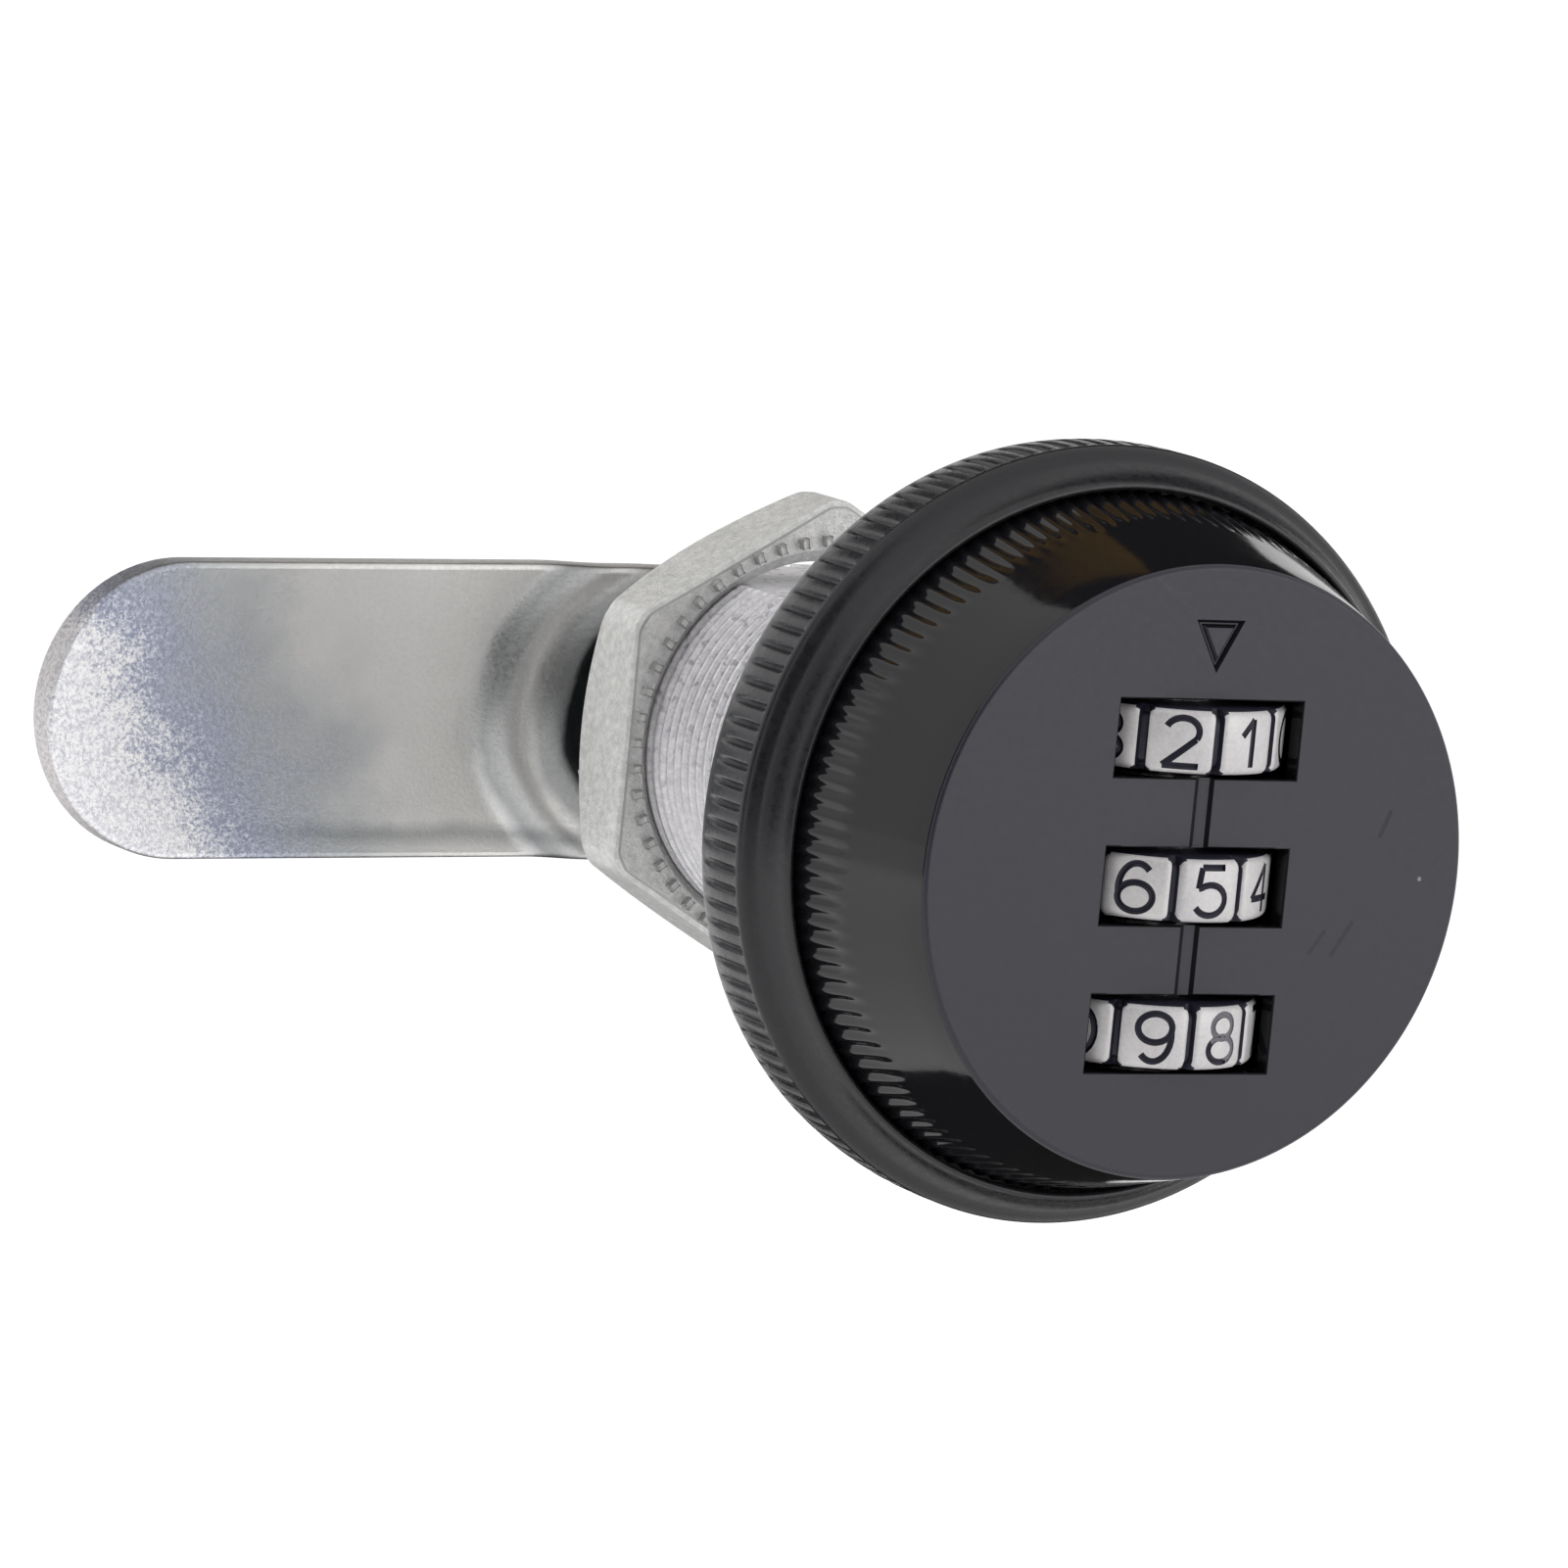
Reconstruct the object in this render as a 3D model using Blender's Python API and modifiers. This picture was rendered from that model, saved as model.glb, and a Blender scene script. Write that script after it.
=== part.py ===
# Combination locker lock: a three-dial knob cam lock for a sheet-metal door.
# Metres, +Z up. The lock's axis is Y: the knob faces -Y, the cam hangs behind the panel at +Y.
# The origin is on the axis, in the plane where the bezel bears on the panel.
# Depths along the axis are given as heights above that plane, positive towards the knob's face.

import math

import bmesh
import bpy
from mathutils import Matrix, Vector

MM = 0.001

# Segments round a full turn
LARGE_SEGMENTS = 36
MEDIUM_SEGMENTS = 24
SMALL_SEGMENTS = 16
COIL_SEGMENTS = 8

# Clearances
GAP = 0.3 * MM              # between faces that bear on each other
RUN = 0.25 * MM             # round a shaft, pin or tenon
HAIR = 0.1 * MM             # small step that keeps two faces from lying in one plane
REACH = 1.0 * MM            # how far a cutter passes the wall it cuts
WELD = 0.00001              # merge distance of the turned shapes

# Number wheels
WHEEL_RADIUS = 6.0 * MM
WHEEL_HEIGHT = 3.3 * MM
WHEEL_PITCH = 7.1 * MM
WHEEL_PROUD = 1.32 * MM     # how far the wheels stand out of the knob's face
STACK_OFFSET = -0.64 * MM   # the middle wheel sits a little under the lock's axis
TILES = 10
TILE_GROOVE = 0.42 * MM
TILE_GROOVE_DEPTH = 0.45 * MM
TILE_SHOULDER = 0.3 * MM
TILE_SHOULDER_DROP = 0.12 * MM
FIRST_DIGIT_TURN = (15.6, 1.3, 16.8)    # degrees from the front to the middle of a tile
WHEEL_BORE = 2.95 * MM
KEYWAY_DEPTH = 0.45 * MM
KEY_HALF = 0.45 * MM        # half the width of the sleeve's key

# Code sleeves and axle
AXLE_RADIUS = 1.25 * MM
SLEEVE_RADIUS = WHEEL_BORE - RUN
GATE_DISC_RADIUS = 3.3 * MM
GATE_DISC_THICKNESS = 1.2 * MM
GATE_DEPTH = 1.0 * MM

# Dial carrier
BASE_THICKNESS = 1.5 * MM
CHEEK_HALF_WIDTH = 4.0 * MM
CHEEK_THICKNESS = 1.4 * MM
CHEEK_OVER_AXLE = 2.1 * MM
CARRIER_RIM = 0.1 * MM
AXLE_EDGE = 0.2 * MM
AXLE_SPRING_LENGTH = 1.7 * MM
AXLE_SPRING_WIRE = 0.25 * MM
AXLE_SPRING_TURNS = 3

# Locking bolt
BOLT_THICKNESS = 0.9 * MM
BOLT_BAR_WIDTH = 1.6 * MM
BOLT_TOOTH_HALF = 0.8 * MM
BOLT_TRAVEL = 0.8 * MM
TOOTH_CLEARANCE = 0.2 * MM  # left under the gate discs when the bolt is lifted
NOSE_RADIUS = 0.9 * MM
NOSE_DEPTH = 0.8 * MM       # how deep the nose sits in the flange's ramp when locked
BOLT_SPRING_RADIUS = 1.1 * MM
BOLT_SPRING_WIRE = 0.25 * MM
BOLT_SPRING_LENGTH = 3.2 * MM
BOLT_SPRING_TURNS = 4

# Detent spring
LEAF_THICKNESS = 0.35 * MM
LEAF_FINGER = 2.4 * MM
LEAF_FOOT = 2.0 * MM
LEAF_NIB = 0.3 * MM
LEAF_TIP = 0.8 * MM         # how far the fingers pass the wheels' axle
LEAF_SLIT = 1.6 * MM        # height of the slits' ends over the foot

# Knob
KNOB_FACE_RIM = 1.18 * MM   # how far the face reaches past the dial carrier
KNOB_TAPER = 0.187          # radius that the smooth front gains for each unit of depth
RIB_TAPER = 0.229           # the same along the ribs
KNOB_WALL = 1.4 * MM
KNOB_ROOF = 1.65 * MM
KNOB_EDGE = 0.35 * MM
RIB_COUNT = 120
RIB_DEPTH = 0.26 * MM
RIB_PROUD = 0.32 * MM       # crest of the ribs over the smooth front, where they meet
RIB_FRONT_DEPTH = 4.78 * MM     # from the face back to the ribs
WINDOW_WIDTH = 10.1 * MM
WINDOW_HEIGHT = 3.75 * MM
INDEX_WIDTH = 0.8 * MM
INDEX_DEPTH = 0.4 * MM
MARK_WIDTH = 2.7 * MM
MARK_HEIGHT = 2.55 * MM
MARK_STROKE = 0.38 * MM
MARK_DEPTH = 0.3 * MM
MARK_ABOVE_WINDOW = 1.3 * MM
SCREW_SPREAD = 11.2 * MM
SCREW_RADIUS = 0.9 * MM
SCREW_HEAD_RADIUS = 1.8 * MM
SCREW_LENGTH = 6.6 * MM
SCREW_BOSS = 2.0 * MM
SCREW_SLOT = 0.5 * MM
SCREW_POINT = 0.3 * MM

# Bezel
BEZEL_HEIGHT = 5.8 * MM
BEZEL_WALL = 1.7 * MM
BEZEL_LIP_THICKNESS = 0.9 * MM
BEZEL_LIP_OVERLAP = 1.1 * MM
BEZEL_LAND = 4.1 * MM       # height of the knurled band's front edge
KNURL_DEPTH = 0.34 * MM
BEZEL_CHAMFER = 0.35 * MM
BEZEL_ROUND = 0.24 * MM     # inner edge of the lip
BEZEL_SLOPE = 0.6 * MM      # height from the knurl to the foot of the hollow slope
BEZEL_HOLLOW = 0.12 * MM    # depth of the hollow

# Barrel
FLANGE_THICKNESS = 2.0 * MM
FLANGE_EDGE = 0.25 * MM
THREAD_RADIUS = 9.5 * MM
BARREL_FLAT = 8.0 * MM      # from the axis to each flat
BARREL_LENGTH = 30.75 * MM
BARREL_CHAMFER = 0.6 * MM
REAR_BORE_RADIUS = 7.1 * MM
REAR_BORE_DEPTH = 3.85 * MM
STOP_RIM = 0.95 * MM
KNOB_TURN = 90.0            # degrees

# Spindle
SPINDLE_RADIUS = 5.0 * MM
SPINDLE_HEAD_RADIUS = 6.0 * MM
SPINDLE_HEAD_THICKNESS = 1.3 * MM
TENON_HALF = 3.2 * MM
SHANK_HALF = 3.5 * MM
CLIP_GROOVE_DEPTH = 0.5 * MM
CLIP_THICKNESS = 0.8 * MM
CLIP_RADIUS = 6.6 * MM
CLIP_MOUTH = 70.0           # degrees

# Stop washer and cam
STOP_WASHER_THICKNESS = 0.65 * MM
STOP_WASHER_RADIUS = 6.8 * MM
STOP_TAB_HALF = 1.8 * MM
STOP_TAB_REACH = 8.4 * MM
CAM_THICKNESS = 2.0 * MM
CAM_HUB_RADIUS = 7.9 * MM
CAM_CRANK_START = 9.1 * MM    # the plate bends back between these two radii
CAM_CRANK_RADIUS = 13.4 * MM
CAM_CRANK = 2.0 * MM
CAM_HALF_WIDTH = 7.5 * MM
CAM_LENGTH = 37.5 * MM      # from the lock's axis to the tip
CAM_BEND = 0.6 * MM

# Cam fixing
WASHER_RADIUS = 6.5 * MM
WASHER_THICKNESS = 0.8 * MM
SPRING_WASHER_RADIUS = 5.0 * MM
SPRING_WASHER_THICKNESS = 1.2 * MM
SPRING_WASHER_SLIT = 8.0    # degrees
CAM_SCREW_RADIUS = 3.0 * MM
CAM_SCREW_HEX = 5.0 * MM    # half across the flats
CAM_SCREW_HEAD = 4.0 * MM
CAM_SCREW_CROWN = 4.75 * MM     # radius of the head's flat rear
CAM_SCREW_LENGTH = 10.0 * MM

# Nut
NUT_WALL = 1.5 * MM         # from the thread's outside to the flats
NUT_THICKNESS = 4.95 * MM
NUT_FROM_END = 8.66 * MM    # from the barrel's rear end to the nut's bearing face, as it is screwed on
NUT_CROWN_STEP = 0.3 * MM   # from the flats in to the edge of the chamfered rear face
NUT_CHAMFER_ANGLE = 40.0    # degrees
NUT_TOOTH_COUNT = 50
NUT_TOOTH_HEIGHT = 0.3 * MM
NUT_TOOTH_WIDTH = 0.5 * MM
NUT_TOOTH_LENGTH = 0.62 * MM
NUT_TOOTH_CREST = 0.6       # share of a tooth's foot that its flat top keeps
NUT_BORE_CHAMFER = 0.4 * MM

# Heights and radii that follow from the sizes above
base_rear = FLANGE_THICKNESS + GAP
base_front = base_rear + BASE_THICKNESS
axle_height = base_front + GAP + WHEEL_RADIUS
face_height = axle_height + WHEEL_RADIUS - WHEEL_PROUD
roof_height = face_height - KNOB_ROOF
wheel_rows = [STACK_OFFSET + WHEEL_PITCH * (1 - i) for i in range(3)]
disc_low = WHEEL_HEIGHT / 2 + RUN           # gate disc, measured from its wheel's middle
disc_high = disc_low + GATE_DISC_THICKNESS
upper_cheek = wheel_rows[0] + disc_high + GAP
axle_spring_top = wheel_rows[2] - WHEEL_HEIGHT / 2 - RUN
lower_cheek = axle_spring_top - AXLE_SPRING_LENGTH - RUN
cheek_top = axle_height + CHEEK_OVER_AXLE
stack_reach = max(upper_cheek, -lower_cheek) + CHEEK_THICKNESS
carrier_radius = math.hypot(CHEEK_HALF_WIDTH, stack_reach) + CARRIER_RIM
face_radius = carrier_radius + KNOB_FACE_RIM
lip_rear = FLANGE_THICKNESS + GAP
lip_front = lip_rear + BEZEL_LIP_THICKNESS
lip_radius = carrier_radius + GAP
flange_radius = lip_radius + BEZEL_LIP_OVERLAP
knob_rear = lip_front + GAP
rib_front = face_height - RIB_FRONT_DEPTH
rib_rear = BEZEL_HEIGHT - 2 * HAIR
rib_front_crest = face_radius + KNOB_TAPER * RIB_FRONT_DEPTH + RIB_PROUD
rib_rear_crest = rib_front_crest + RIB_TAPER * (rib_front - rib_rear)
skirt_radius = rib_rear_crest - RIB_DEPTH - HAIR
bezel_bore = rib_rear_crest + RUN
bezel_radius = bezel_bore + BEZEL_WALL
bar_x = WHEEL_RADIUS - BOLT_BAR_WIDTH / 2
nose_y = axle_spring_top - BOLT_SPRING_RADIUS
bolt_rear = base_front + GAP
bolt_front = bolt_rear + BOLT_THICKNESS
nose_rear = FLANGE_THICKNESS - NOSE_DEPTH
tooth_front = axle_height - GATE_DISC_RADIUS - TOOTH_CLEARANCE - BOLT_TRAVEL
leaf_x = WHEEL_RADIUS + LEAF_NIB + RUN
shank_front = -BARREL_LENGTH + STOP_RIM - RUN + GAP
washer_front = -BARREL_LENGTH + STOP_WASHER_THICKNESS
cam_front = -BARREL_LENGTH - RUN
cam_rear = cam_front - CAM_THICKNESS
clip_front = -BARREL_LENGTH + REAR_BORE_DEPTH - GAP
screw_head_front = cam_rear - GAP - WASHER_THICKNESS - RUN - SPRING_WASHER_THICKNESS - RUN
nut_half_flats = THREAD_RADIUS + NUT_WALL
nut_front = NUT_FROM_END - BARREL_LENGTH
nut_rear = nut_front - NUT_THICKNESS


def arc(cx, cy, radius, start, end, count):
    # Points on a circle, both ends included, angles in degrees
    points = []
    for i in range(count + 1):
        angle = math.radians(start + (end - start) * i / count)
        points.append((cx + radius * math.cos(angle), cy + radius * math.sin(angle)))
    return points


def circle(radius, count):
    return arc(0, 0, radius, 0, 360 - 360 / count, count - 1)


def clear_scene():
    for obj in list(bpy.data.objects):
        bpy.data.objects.remove(obj, do_unlink=True)
    for collection in list(bpy.data.collections):
        bpy.data.collections.remove(collection)


def new_collection(name):
    collection = bpy.data.collections.new(name)
    bpy.context.scene.collection.children.link(collection)
    return collection


clear_scene()
parts = new_collection("combination_locker_lock")
guides = new_collection("cutters")


def make_empty(name, location, turn=0.0):
    empty = bpy.data.objects.new(name, None)
    empty.empty_display_size = 5 * MM
    empty.location = location
    empty.rotation_euler = (turn, 0, 0)
    parts.objects.link(empty)
    return empty


# Local +Z of both empties points out of the knob's face
housing_axis = make_empty("housing_axis", (0, 0, 0), math.pi / 2)
knob_axis = make_empty("knob_axis", (0, 0, 0), math.pi / 2)
wheel_axes = [make_empty(f"wheel_axis_{i + 1}", (0, -axle_height, wheel_rows[i])) for i in range(3)]


def material(name, color, roughness, metallic):
    made = bpy.data.materials.new(name)
    made.use_nodes = True
    shader = made.node_tree.nodes["Principled BSDF"]
    shader.inputs["Base Color"].default_value = (*color, 1)
    shader.inputs["Roughness"].default_value = roughness
    shader.inputs["Metallic"].default_value = metallic
    return made


black_plastic = ("black_moulding", (0.055, 0.057, 0.063), 0.42, 0.0)
grey_plastic = ("carrier_moulding", (0.16, 0.16, 0.17), 0.55, 0.0)
silver = ("silver_wheel", (0.72, 0.73, 0.75), 0.35, 0.6)
cast_zinc = ("cast_zinc", (0.62, 0.62, 0.61), 0.4, 1.0)
zinc_plate = ("zinc_plate", (0.66, 0.68, 0.7), 0.3, 1.0)
spring_steel = ("spring_steel", (0.5, 0.5, 0.52), 0.25, 1.0)


def place(obj, parent, finish=None):
    # A part gets its own material, a cutter is only shown as wire
    obj.parent = parent
    if finish is None:
        guides.objects.link(obj)
        obj.hide_render = True
        obj.display_type = "WIRE"
        return obj
    parts.objects.link(obj)
    obj.data.materials.append(material(f"{obj.name}_{finish[0]}", *finish[1:]))
    return obj


def shade(obj, degrees=35):
    obj.data.shade_smooth()
    obj.data.set_sharp_from_angle(angle=math.radians(degrees))
    return obj


def turned(name, outline, segments, parent, finish=None, ring=True):
    # A (radius, height) outline turned round local Z: clockwise, so down its outer side
    mesh = bpy.data.meshes.new(name)
    count = len(outline)
    last = count if ring else count - 1
    edges = [(i, (i + 1) % count) for i in range(last)]
    mesh.from_pydata([(radius, 0, height) for radius, height in outline], edges, [])
    obj = place(bpy.data.objects.new(name, mesh), parent, finish)
    screw = obj.modifiers.new("turn", "SCREW")
    screw.steps = segments
    screw.render_steps = segments
    screw.use_merge_vertices = True
    screw.merge_threshold = WELD
    screw.use_smooth_shade = False
    return obj


def round_bar(name, radius, low, high, segments, parent, finish=None, at=(0, 0), end_radius=None):
    # A cylinder, or a cone when end_radius is given for its upper end
    bm = bmesh.new()
    top = radius if end_radius is None else end_radius
    spot = Matrix.Translation((at[0], at[1], (low + high) / 2))
    bmesh.ops.create_cone(bm, cap_ends=True, segments=segments, radius1=radius, radius2=top,
                          depth=high - low, matrix=spot)
    return finish_mesh(name, bm, parent, finish)


def block(name, low, high, parent, finish=None):
    bm = bmesh.new()
    size = Vector(high) - Vector(low)
    middle = (Vector(high) + Vector(low)) / 2
    bmesh.ops.create_cube(bm, size=1, matrix=Matrix.Translation(middle) @ Matrix.Diagonal((*size, 1)))
    return finish_mesh(name, bm, parent, finish)


def finish_mesh(name, bm, parent, finish):
    mesh = bpy.data.meshes.new(name)
    bm.to_mesh(mesh)
    bm.free()
    return place(bpy.data.objects.new(name, mesh), parent, finish)


def plate(name, outlines, low, high, parent, finish=None):
    # Flat outlines, holes among them, made as thick as low to high
    curve = bpy.data.curves.new(name + "_outline", "CURVE")
    curve.dimensions = "2D"
    curve.fill_mode = "BOTH"
    curve.extrude = (high - low) / 2
    for outline in outlines:
        spline = curve.splines.new("POLY")
        spline.points.add(len(outline) - 1)
        for point, (x, y) in zip(spline.points, outline):
            point.co = (x, y, 0, 1)
        spline.use_cyclic_u = True
    drawn = bpy.data.objects.new(name + "_outline", curve)
    drawn.location = (0, 0, (high + low) / 2)
    return curve_to_mesh(name, drawn, parent, finish)


def curve_to_mesh(name, drawn, parent, finish):
    # The curve's caps are loose, so they are welded before any cut
    guides.objects.link(drawn)
    bpy.context.view_layer.update()
    evaluated = drawn.evaluated_get(bpy.context.evaluated_depsgraph_get())
    mesh = bpy.data.meshes.new_from_object(evaluated)
    mesh.name = name
    bm = bmesh.new()
    bm.from_mesh(mesh)
    bmesh.ops.transform(bm, matrix=drawn.matrix_world, verts=bm.verts)
    bmesh.ops.remove_doubles(bm, verts=bm.verts, dist=WELD / 5)
    bmesh.ops.recalc_face_normals(bm, faces=bm.faces)
    bm.to_mesh(mesh)
    bm.free()
    mesh.materials.clear()
    bpy.data.objects.remove(drawn, do_unlink=True)
    return place(bpy.data.objects.new(name, mesh), parent, finish)


def combine(obj, tool, operation):
    boolean = obj.modifiers.new(f"{operation.lower()}_{tool.name}", "BOOLEAN")
    boolean.operation = operation
    boolean.solver = "EXACT"
    boolean.object = tool
    return obj


def cut(obj, tool):
    return combine(obj, tool, "DIFFERENCE")


def join(obj, tool):
    return combine(obj, tool, "UNION")


def merge_flats(obj):
    # Faces that lie in one plane become one face
    flats = obj.modifiers.new("flats", "DECIMATE")
    flats.decimate_type = "DISSOLVE"
    flats.angle_limit = math.radians(0.5)
    return obj


def coil(name, radius, wire, low, high, turns, at, parent, finish):
    # A helical spring with closed flat ends, wound round local Z
    steps = int(turns * COIL_SEGMENTS)
    middle = radius - wire
    points = []
    for i in range(steps + 1):
        done = turns * i / steps
        angle = 2 * math.pi * done
        # The first and the last half turn stay level
        climb = min(max((done - 0.5) / (turns - 1), 0), 1)
        height = low + wire + (high - low - 2 * wire) * climb
        points.append((at[0] + middle * math.cos(angle), at[1] + middle * math.sin(angle), height))
    curve = bpy.data.curves.new(name + "_wire", "CURVE")
    curve.dimensions = "3D"
    curve.bevel_depth = wire
    curve.bevel_resolution = 0
    curve.use_fill_caps = True
    spline = curve.splines.new("POLY")
    spline.points.add(len(points) - 1)
    for point, spot in zip(spline.points, points):
        point.co = (*spot, 1)
    drawn = bpy.data.objects.new(name + "_wire", curve)
    return curve_to_mesh(name, drawn, parent, finish)


def ribbed_ring(name, rear_crest, front_crest, depth, count, bore, low, high, parent):
    # A ring with V-shaped ribs round its rim, tapered between its two ends
    rim = []
    for i in range(2 * count):
        radius = rear_crest if i % 2 == 0 else rear_crest - depth
        angle = math.pi * i / count
        rim.append((radius * math.cos(angle), radius * math.sin(angle)))
    hole = circle(bore, MEDIUM_SEGMENTS)
    ring = plate(name, [rim, hole], low, high, parent)
    for vert in ring.data.vertices:
        if vert.co.z > (low + high) / 2:
            vert.co.x *= front_crest / rear_crest
            vert.co.y *= front_crest / rear_crest
    return ring


def make_barrel():
    head_room = SPINDLE_HEAD_RADIUS + GAP
    head_floor = FLANGE_THICKNESS - SPINDLE_HEAD_THICKNESS - GAP
    bore = SPINDLE_RADIUS + RUN
    rear = -BARREL_LENGTH
    counterbore = rear + REAR_BORE_DEPTH
    outline = [
        (head_room, FLANGE_THICKNESS),
        (flange_radius - FLANGE_EDGE, FLANGE_THICKNESS),
        (flange_radius, FLANGE_THICKNESS - FLANGE_EDGE),
        (flange_radius, 0),
        (THREAD_RADIUS, 0),
        (THREAD_RADIUS, rear + BARREL_CHAMFER),
        (THREAD_RADIUS - BARREL_CHAMFER, rear),
        (REAR_BORE_RADIUS, rear),
        (REAR_BORE_RADIUS, counterbore),
        (bore, counterbore),
        (bore, head_floor),
        (head_room, head_floor),
    ]
    barrel = turned("barrel", outline, LARGE_SEGMENTS, housing_axis, cast_zinc)
    over = 2 * flange_radius
    for side, name in ((1, "upper_flat"), (-1, "lower_flat")):
        near, far = sorted((side * BARREL_FLAT, side * over))
        flat = block(name, (-over, near, rear - over), (over, far, 0), housing_axis)
        cut(barrel, flat)
    cut(barrel, stop_sweep())
    cut(barrel, ramp_groove())
    return barrel


def stop_sweep():
    # The part of the rear rim that the stop washer's tab swings through, and its two end walls
    spread = math.degrees(math.asin(STOP_TAB_HALF / REAR_BORE_RADIUS)) + 2
    reach = 2 * THREAD_RADIUS
    outline = [(0, 0)] + arc(0, 0, reach, 180 - KNOB_TURN - spread, 180 + spread, 12)
    return plate("stop_sweep", [outline], -BARREL_LENGTH - reach, STOP_RIM - BARREL_LENGTH, housing_axis)


def ramp_groove():
    # The groove that lifts the bolt's nose as the knob turns: a helical sweep of a rectangle
    radius = math.hypot(bar_x, nose_y)
    start = math.atan2(nose_y, bar_x)
    margin = (NOSE_RADIUS + GAP) / radius
    turn = math.radians(KNOB_TURN)
    sweep = turn + 2 * margin
    slope = BOLT_TRAVEL / turn
    floor = nose_rear - GAP / 2 - slope * margin
    inner = radius - NOSE_RADIUS - RUN
    outer = radius + NOSE_RADIUS + RUN
    top = FLANGE_THICKNESS + 3 * BOLT_TRAVEL
    bm = bmesh.new()
    corners = [bm.verts.new((inner, 0, floor)), bm.verts.new((outer, 0, floor)),
               bm.verts.new((outer, 0, top)), bm.verts.new((inner, 0, top))]
    face = bm.faces.new(corners)
    bmesh.ops.rotate(bm, verts=corners, cent=(0, 0, 0), matrix=Matrix.Rotation(start + margin, 3, "Z"))
    steps = 16
    bmesh.ops.spin(bm, geom=[face], cent=(0, 0, 0), axis=(0, 0, 1), dvec=(0, 0, slope * sweep / steps),
                   angle=-sweep, steps=steps, use_duplicate=False)
    bmesh.ops.recalc_face_normals(bm, faces=bm.faces)
    return finish_mesh("ramp_groove", bm, housing_axis, None)


def make_bezel():
    core = bezel_radius - KNURL_DEPTH - HAIR / 2
    rear_bore = flange_radius + GAP
    # Hollow front slope from the plain land up to the rounded lip
    low = Vector((core - BEZEL_ROUND, BEZEL_LAND + BEZEL_SLOPE))
    high = Vector((bezel_bore + 2 * BEZEL_ROUND, BEZEL_HEIGHT - HAIR))
    middle = (low + high) / 2 - Vector((BEZEL_HOLLOW, BEZEL_HOLLOW))
    outline = [
        (bezel_bore, lip_front),
        (bezel_bore, BEZEL_HEIGHT - BEZEL_ROUND),
        (bezel_bore + BEZEL_ROUND, BEZEL_HEIGHT),
        tuple(high),
        tuple(middle),
        tuple(low),
        (core, BEZEL_LAND + BEZEL_SLOPE - BEZEL_ROUND),
        (core, BEZEL_CHAMFER),
        (core - BEZEL_CHAMFER, 0),
        (rear_bore, 0),
        (rear_bore, lip_rear),
        (lip_radius, lip_rear),
        (lip_radius, lip_front),
    ]
    bezel = turned("bezel_ring", outline, LARGE_SEGMENTS, housing_axis, black_plastic)
    knurl = ribbed_ring("bezel_knurl", bezel_radius, bezel_radius, KNURL_DEPTH, RIB_COUNT,
                        (rear_bore + core) / 2, BEZEL_CHAMFER, BEZEL_LAND, housing_axis)
    return join(bezel, knurl)


def make_nut():
    corner = nut_half_flats / math.cos(math.radians(30))
    nut = round_bar("mounting_nut", corner, nut_rear, nut_front, 6, housing_axis, cast_zinc)
    outer = corner + REACH
    crown = nut_half_flats - NUT_CROWN_STEP
    drop = (outer - crown) * math.tan(math.radians(NUT_CHAMFER_ANGLE))
    bore = THREAD_RADIUS + GAP
    outline = [
        (bore, nut_front + REACH),
        (outer, nut_front + REACH),
        (outer, nut_rear + drop),
        (crown, nut_rear),
        (bore + NUT_BORE_CHAMFER, nut_rear),
        (bore, nut_rear + NUT_BORE_CHAMFER),
    ]
    blank = turned("nut_blank", outline, LARGE_SEGMENTS, housing_axis)
    combine(nut, blank, "INTERSECT")
    return join(nut, nut_teeth())


def nut_teeth():
    # Small radial teeth that bite the panel, each a low block with sloping sides
    ring = (THREAD_RADIUS + GAP + nut_half_flats) / 2
    sunk = 2 * HAIR
    bm = bmesh.new()
    for i in range(NUT_TOOTH_COUNT):
        turn = Matrix.Rotation(2 * math.pi * i / NUT_TOOTH_COUNT, 4, "Z")
        shift = Matrix.Translation((ring, 0, nut_front + (NUT_TOOTH_HEIGHT - sunk) / 2))
        size = Matrix.Diagonal((NUT_TOOTH_LENGTH, NUT_TOOTH_WIDTH, NUT_TOOTH_HEIGHT + sunk, 1))
        made = bmesh.ops.create_cube(bm, size=1, matrix=turn @ shift @ size)
        middle = turn @ Vector((ring, 0, nut_front))
        for vert in made["verts"]:
            if vert.co.z > nut_front:
                flat = Vector((middle.x, middle.y, vert.co.z))
                vert.co = flat + (vert.co - flat) * NUT_TOOTH_CREST
    return finish_mesh("nut_teeth", bm, housing_axis, None)


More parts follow.
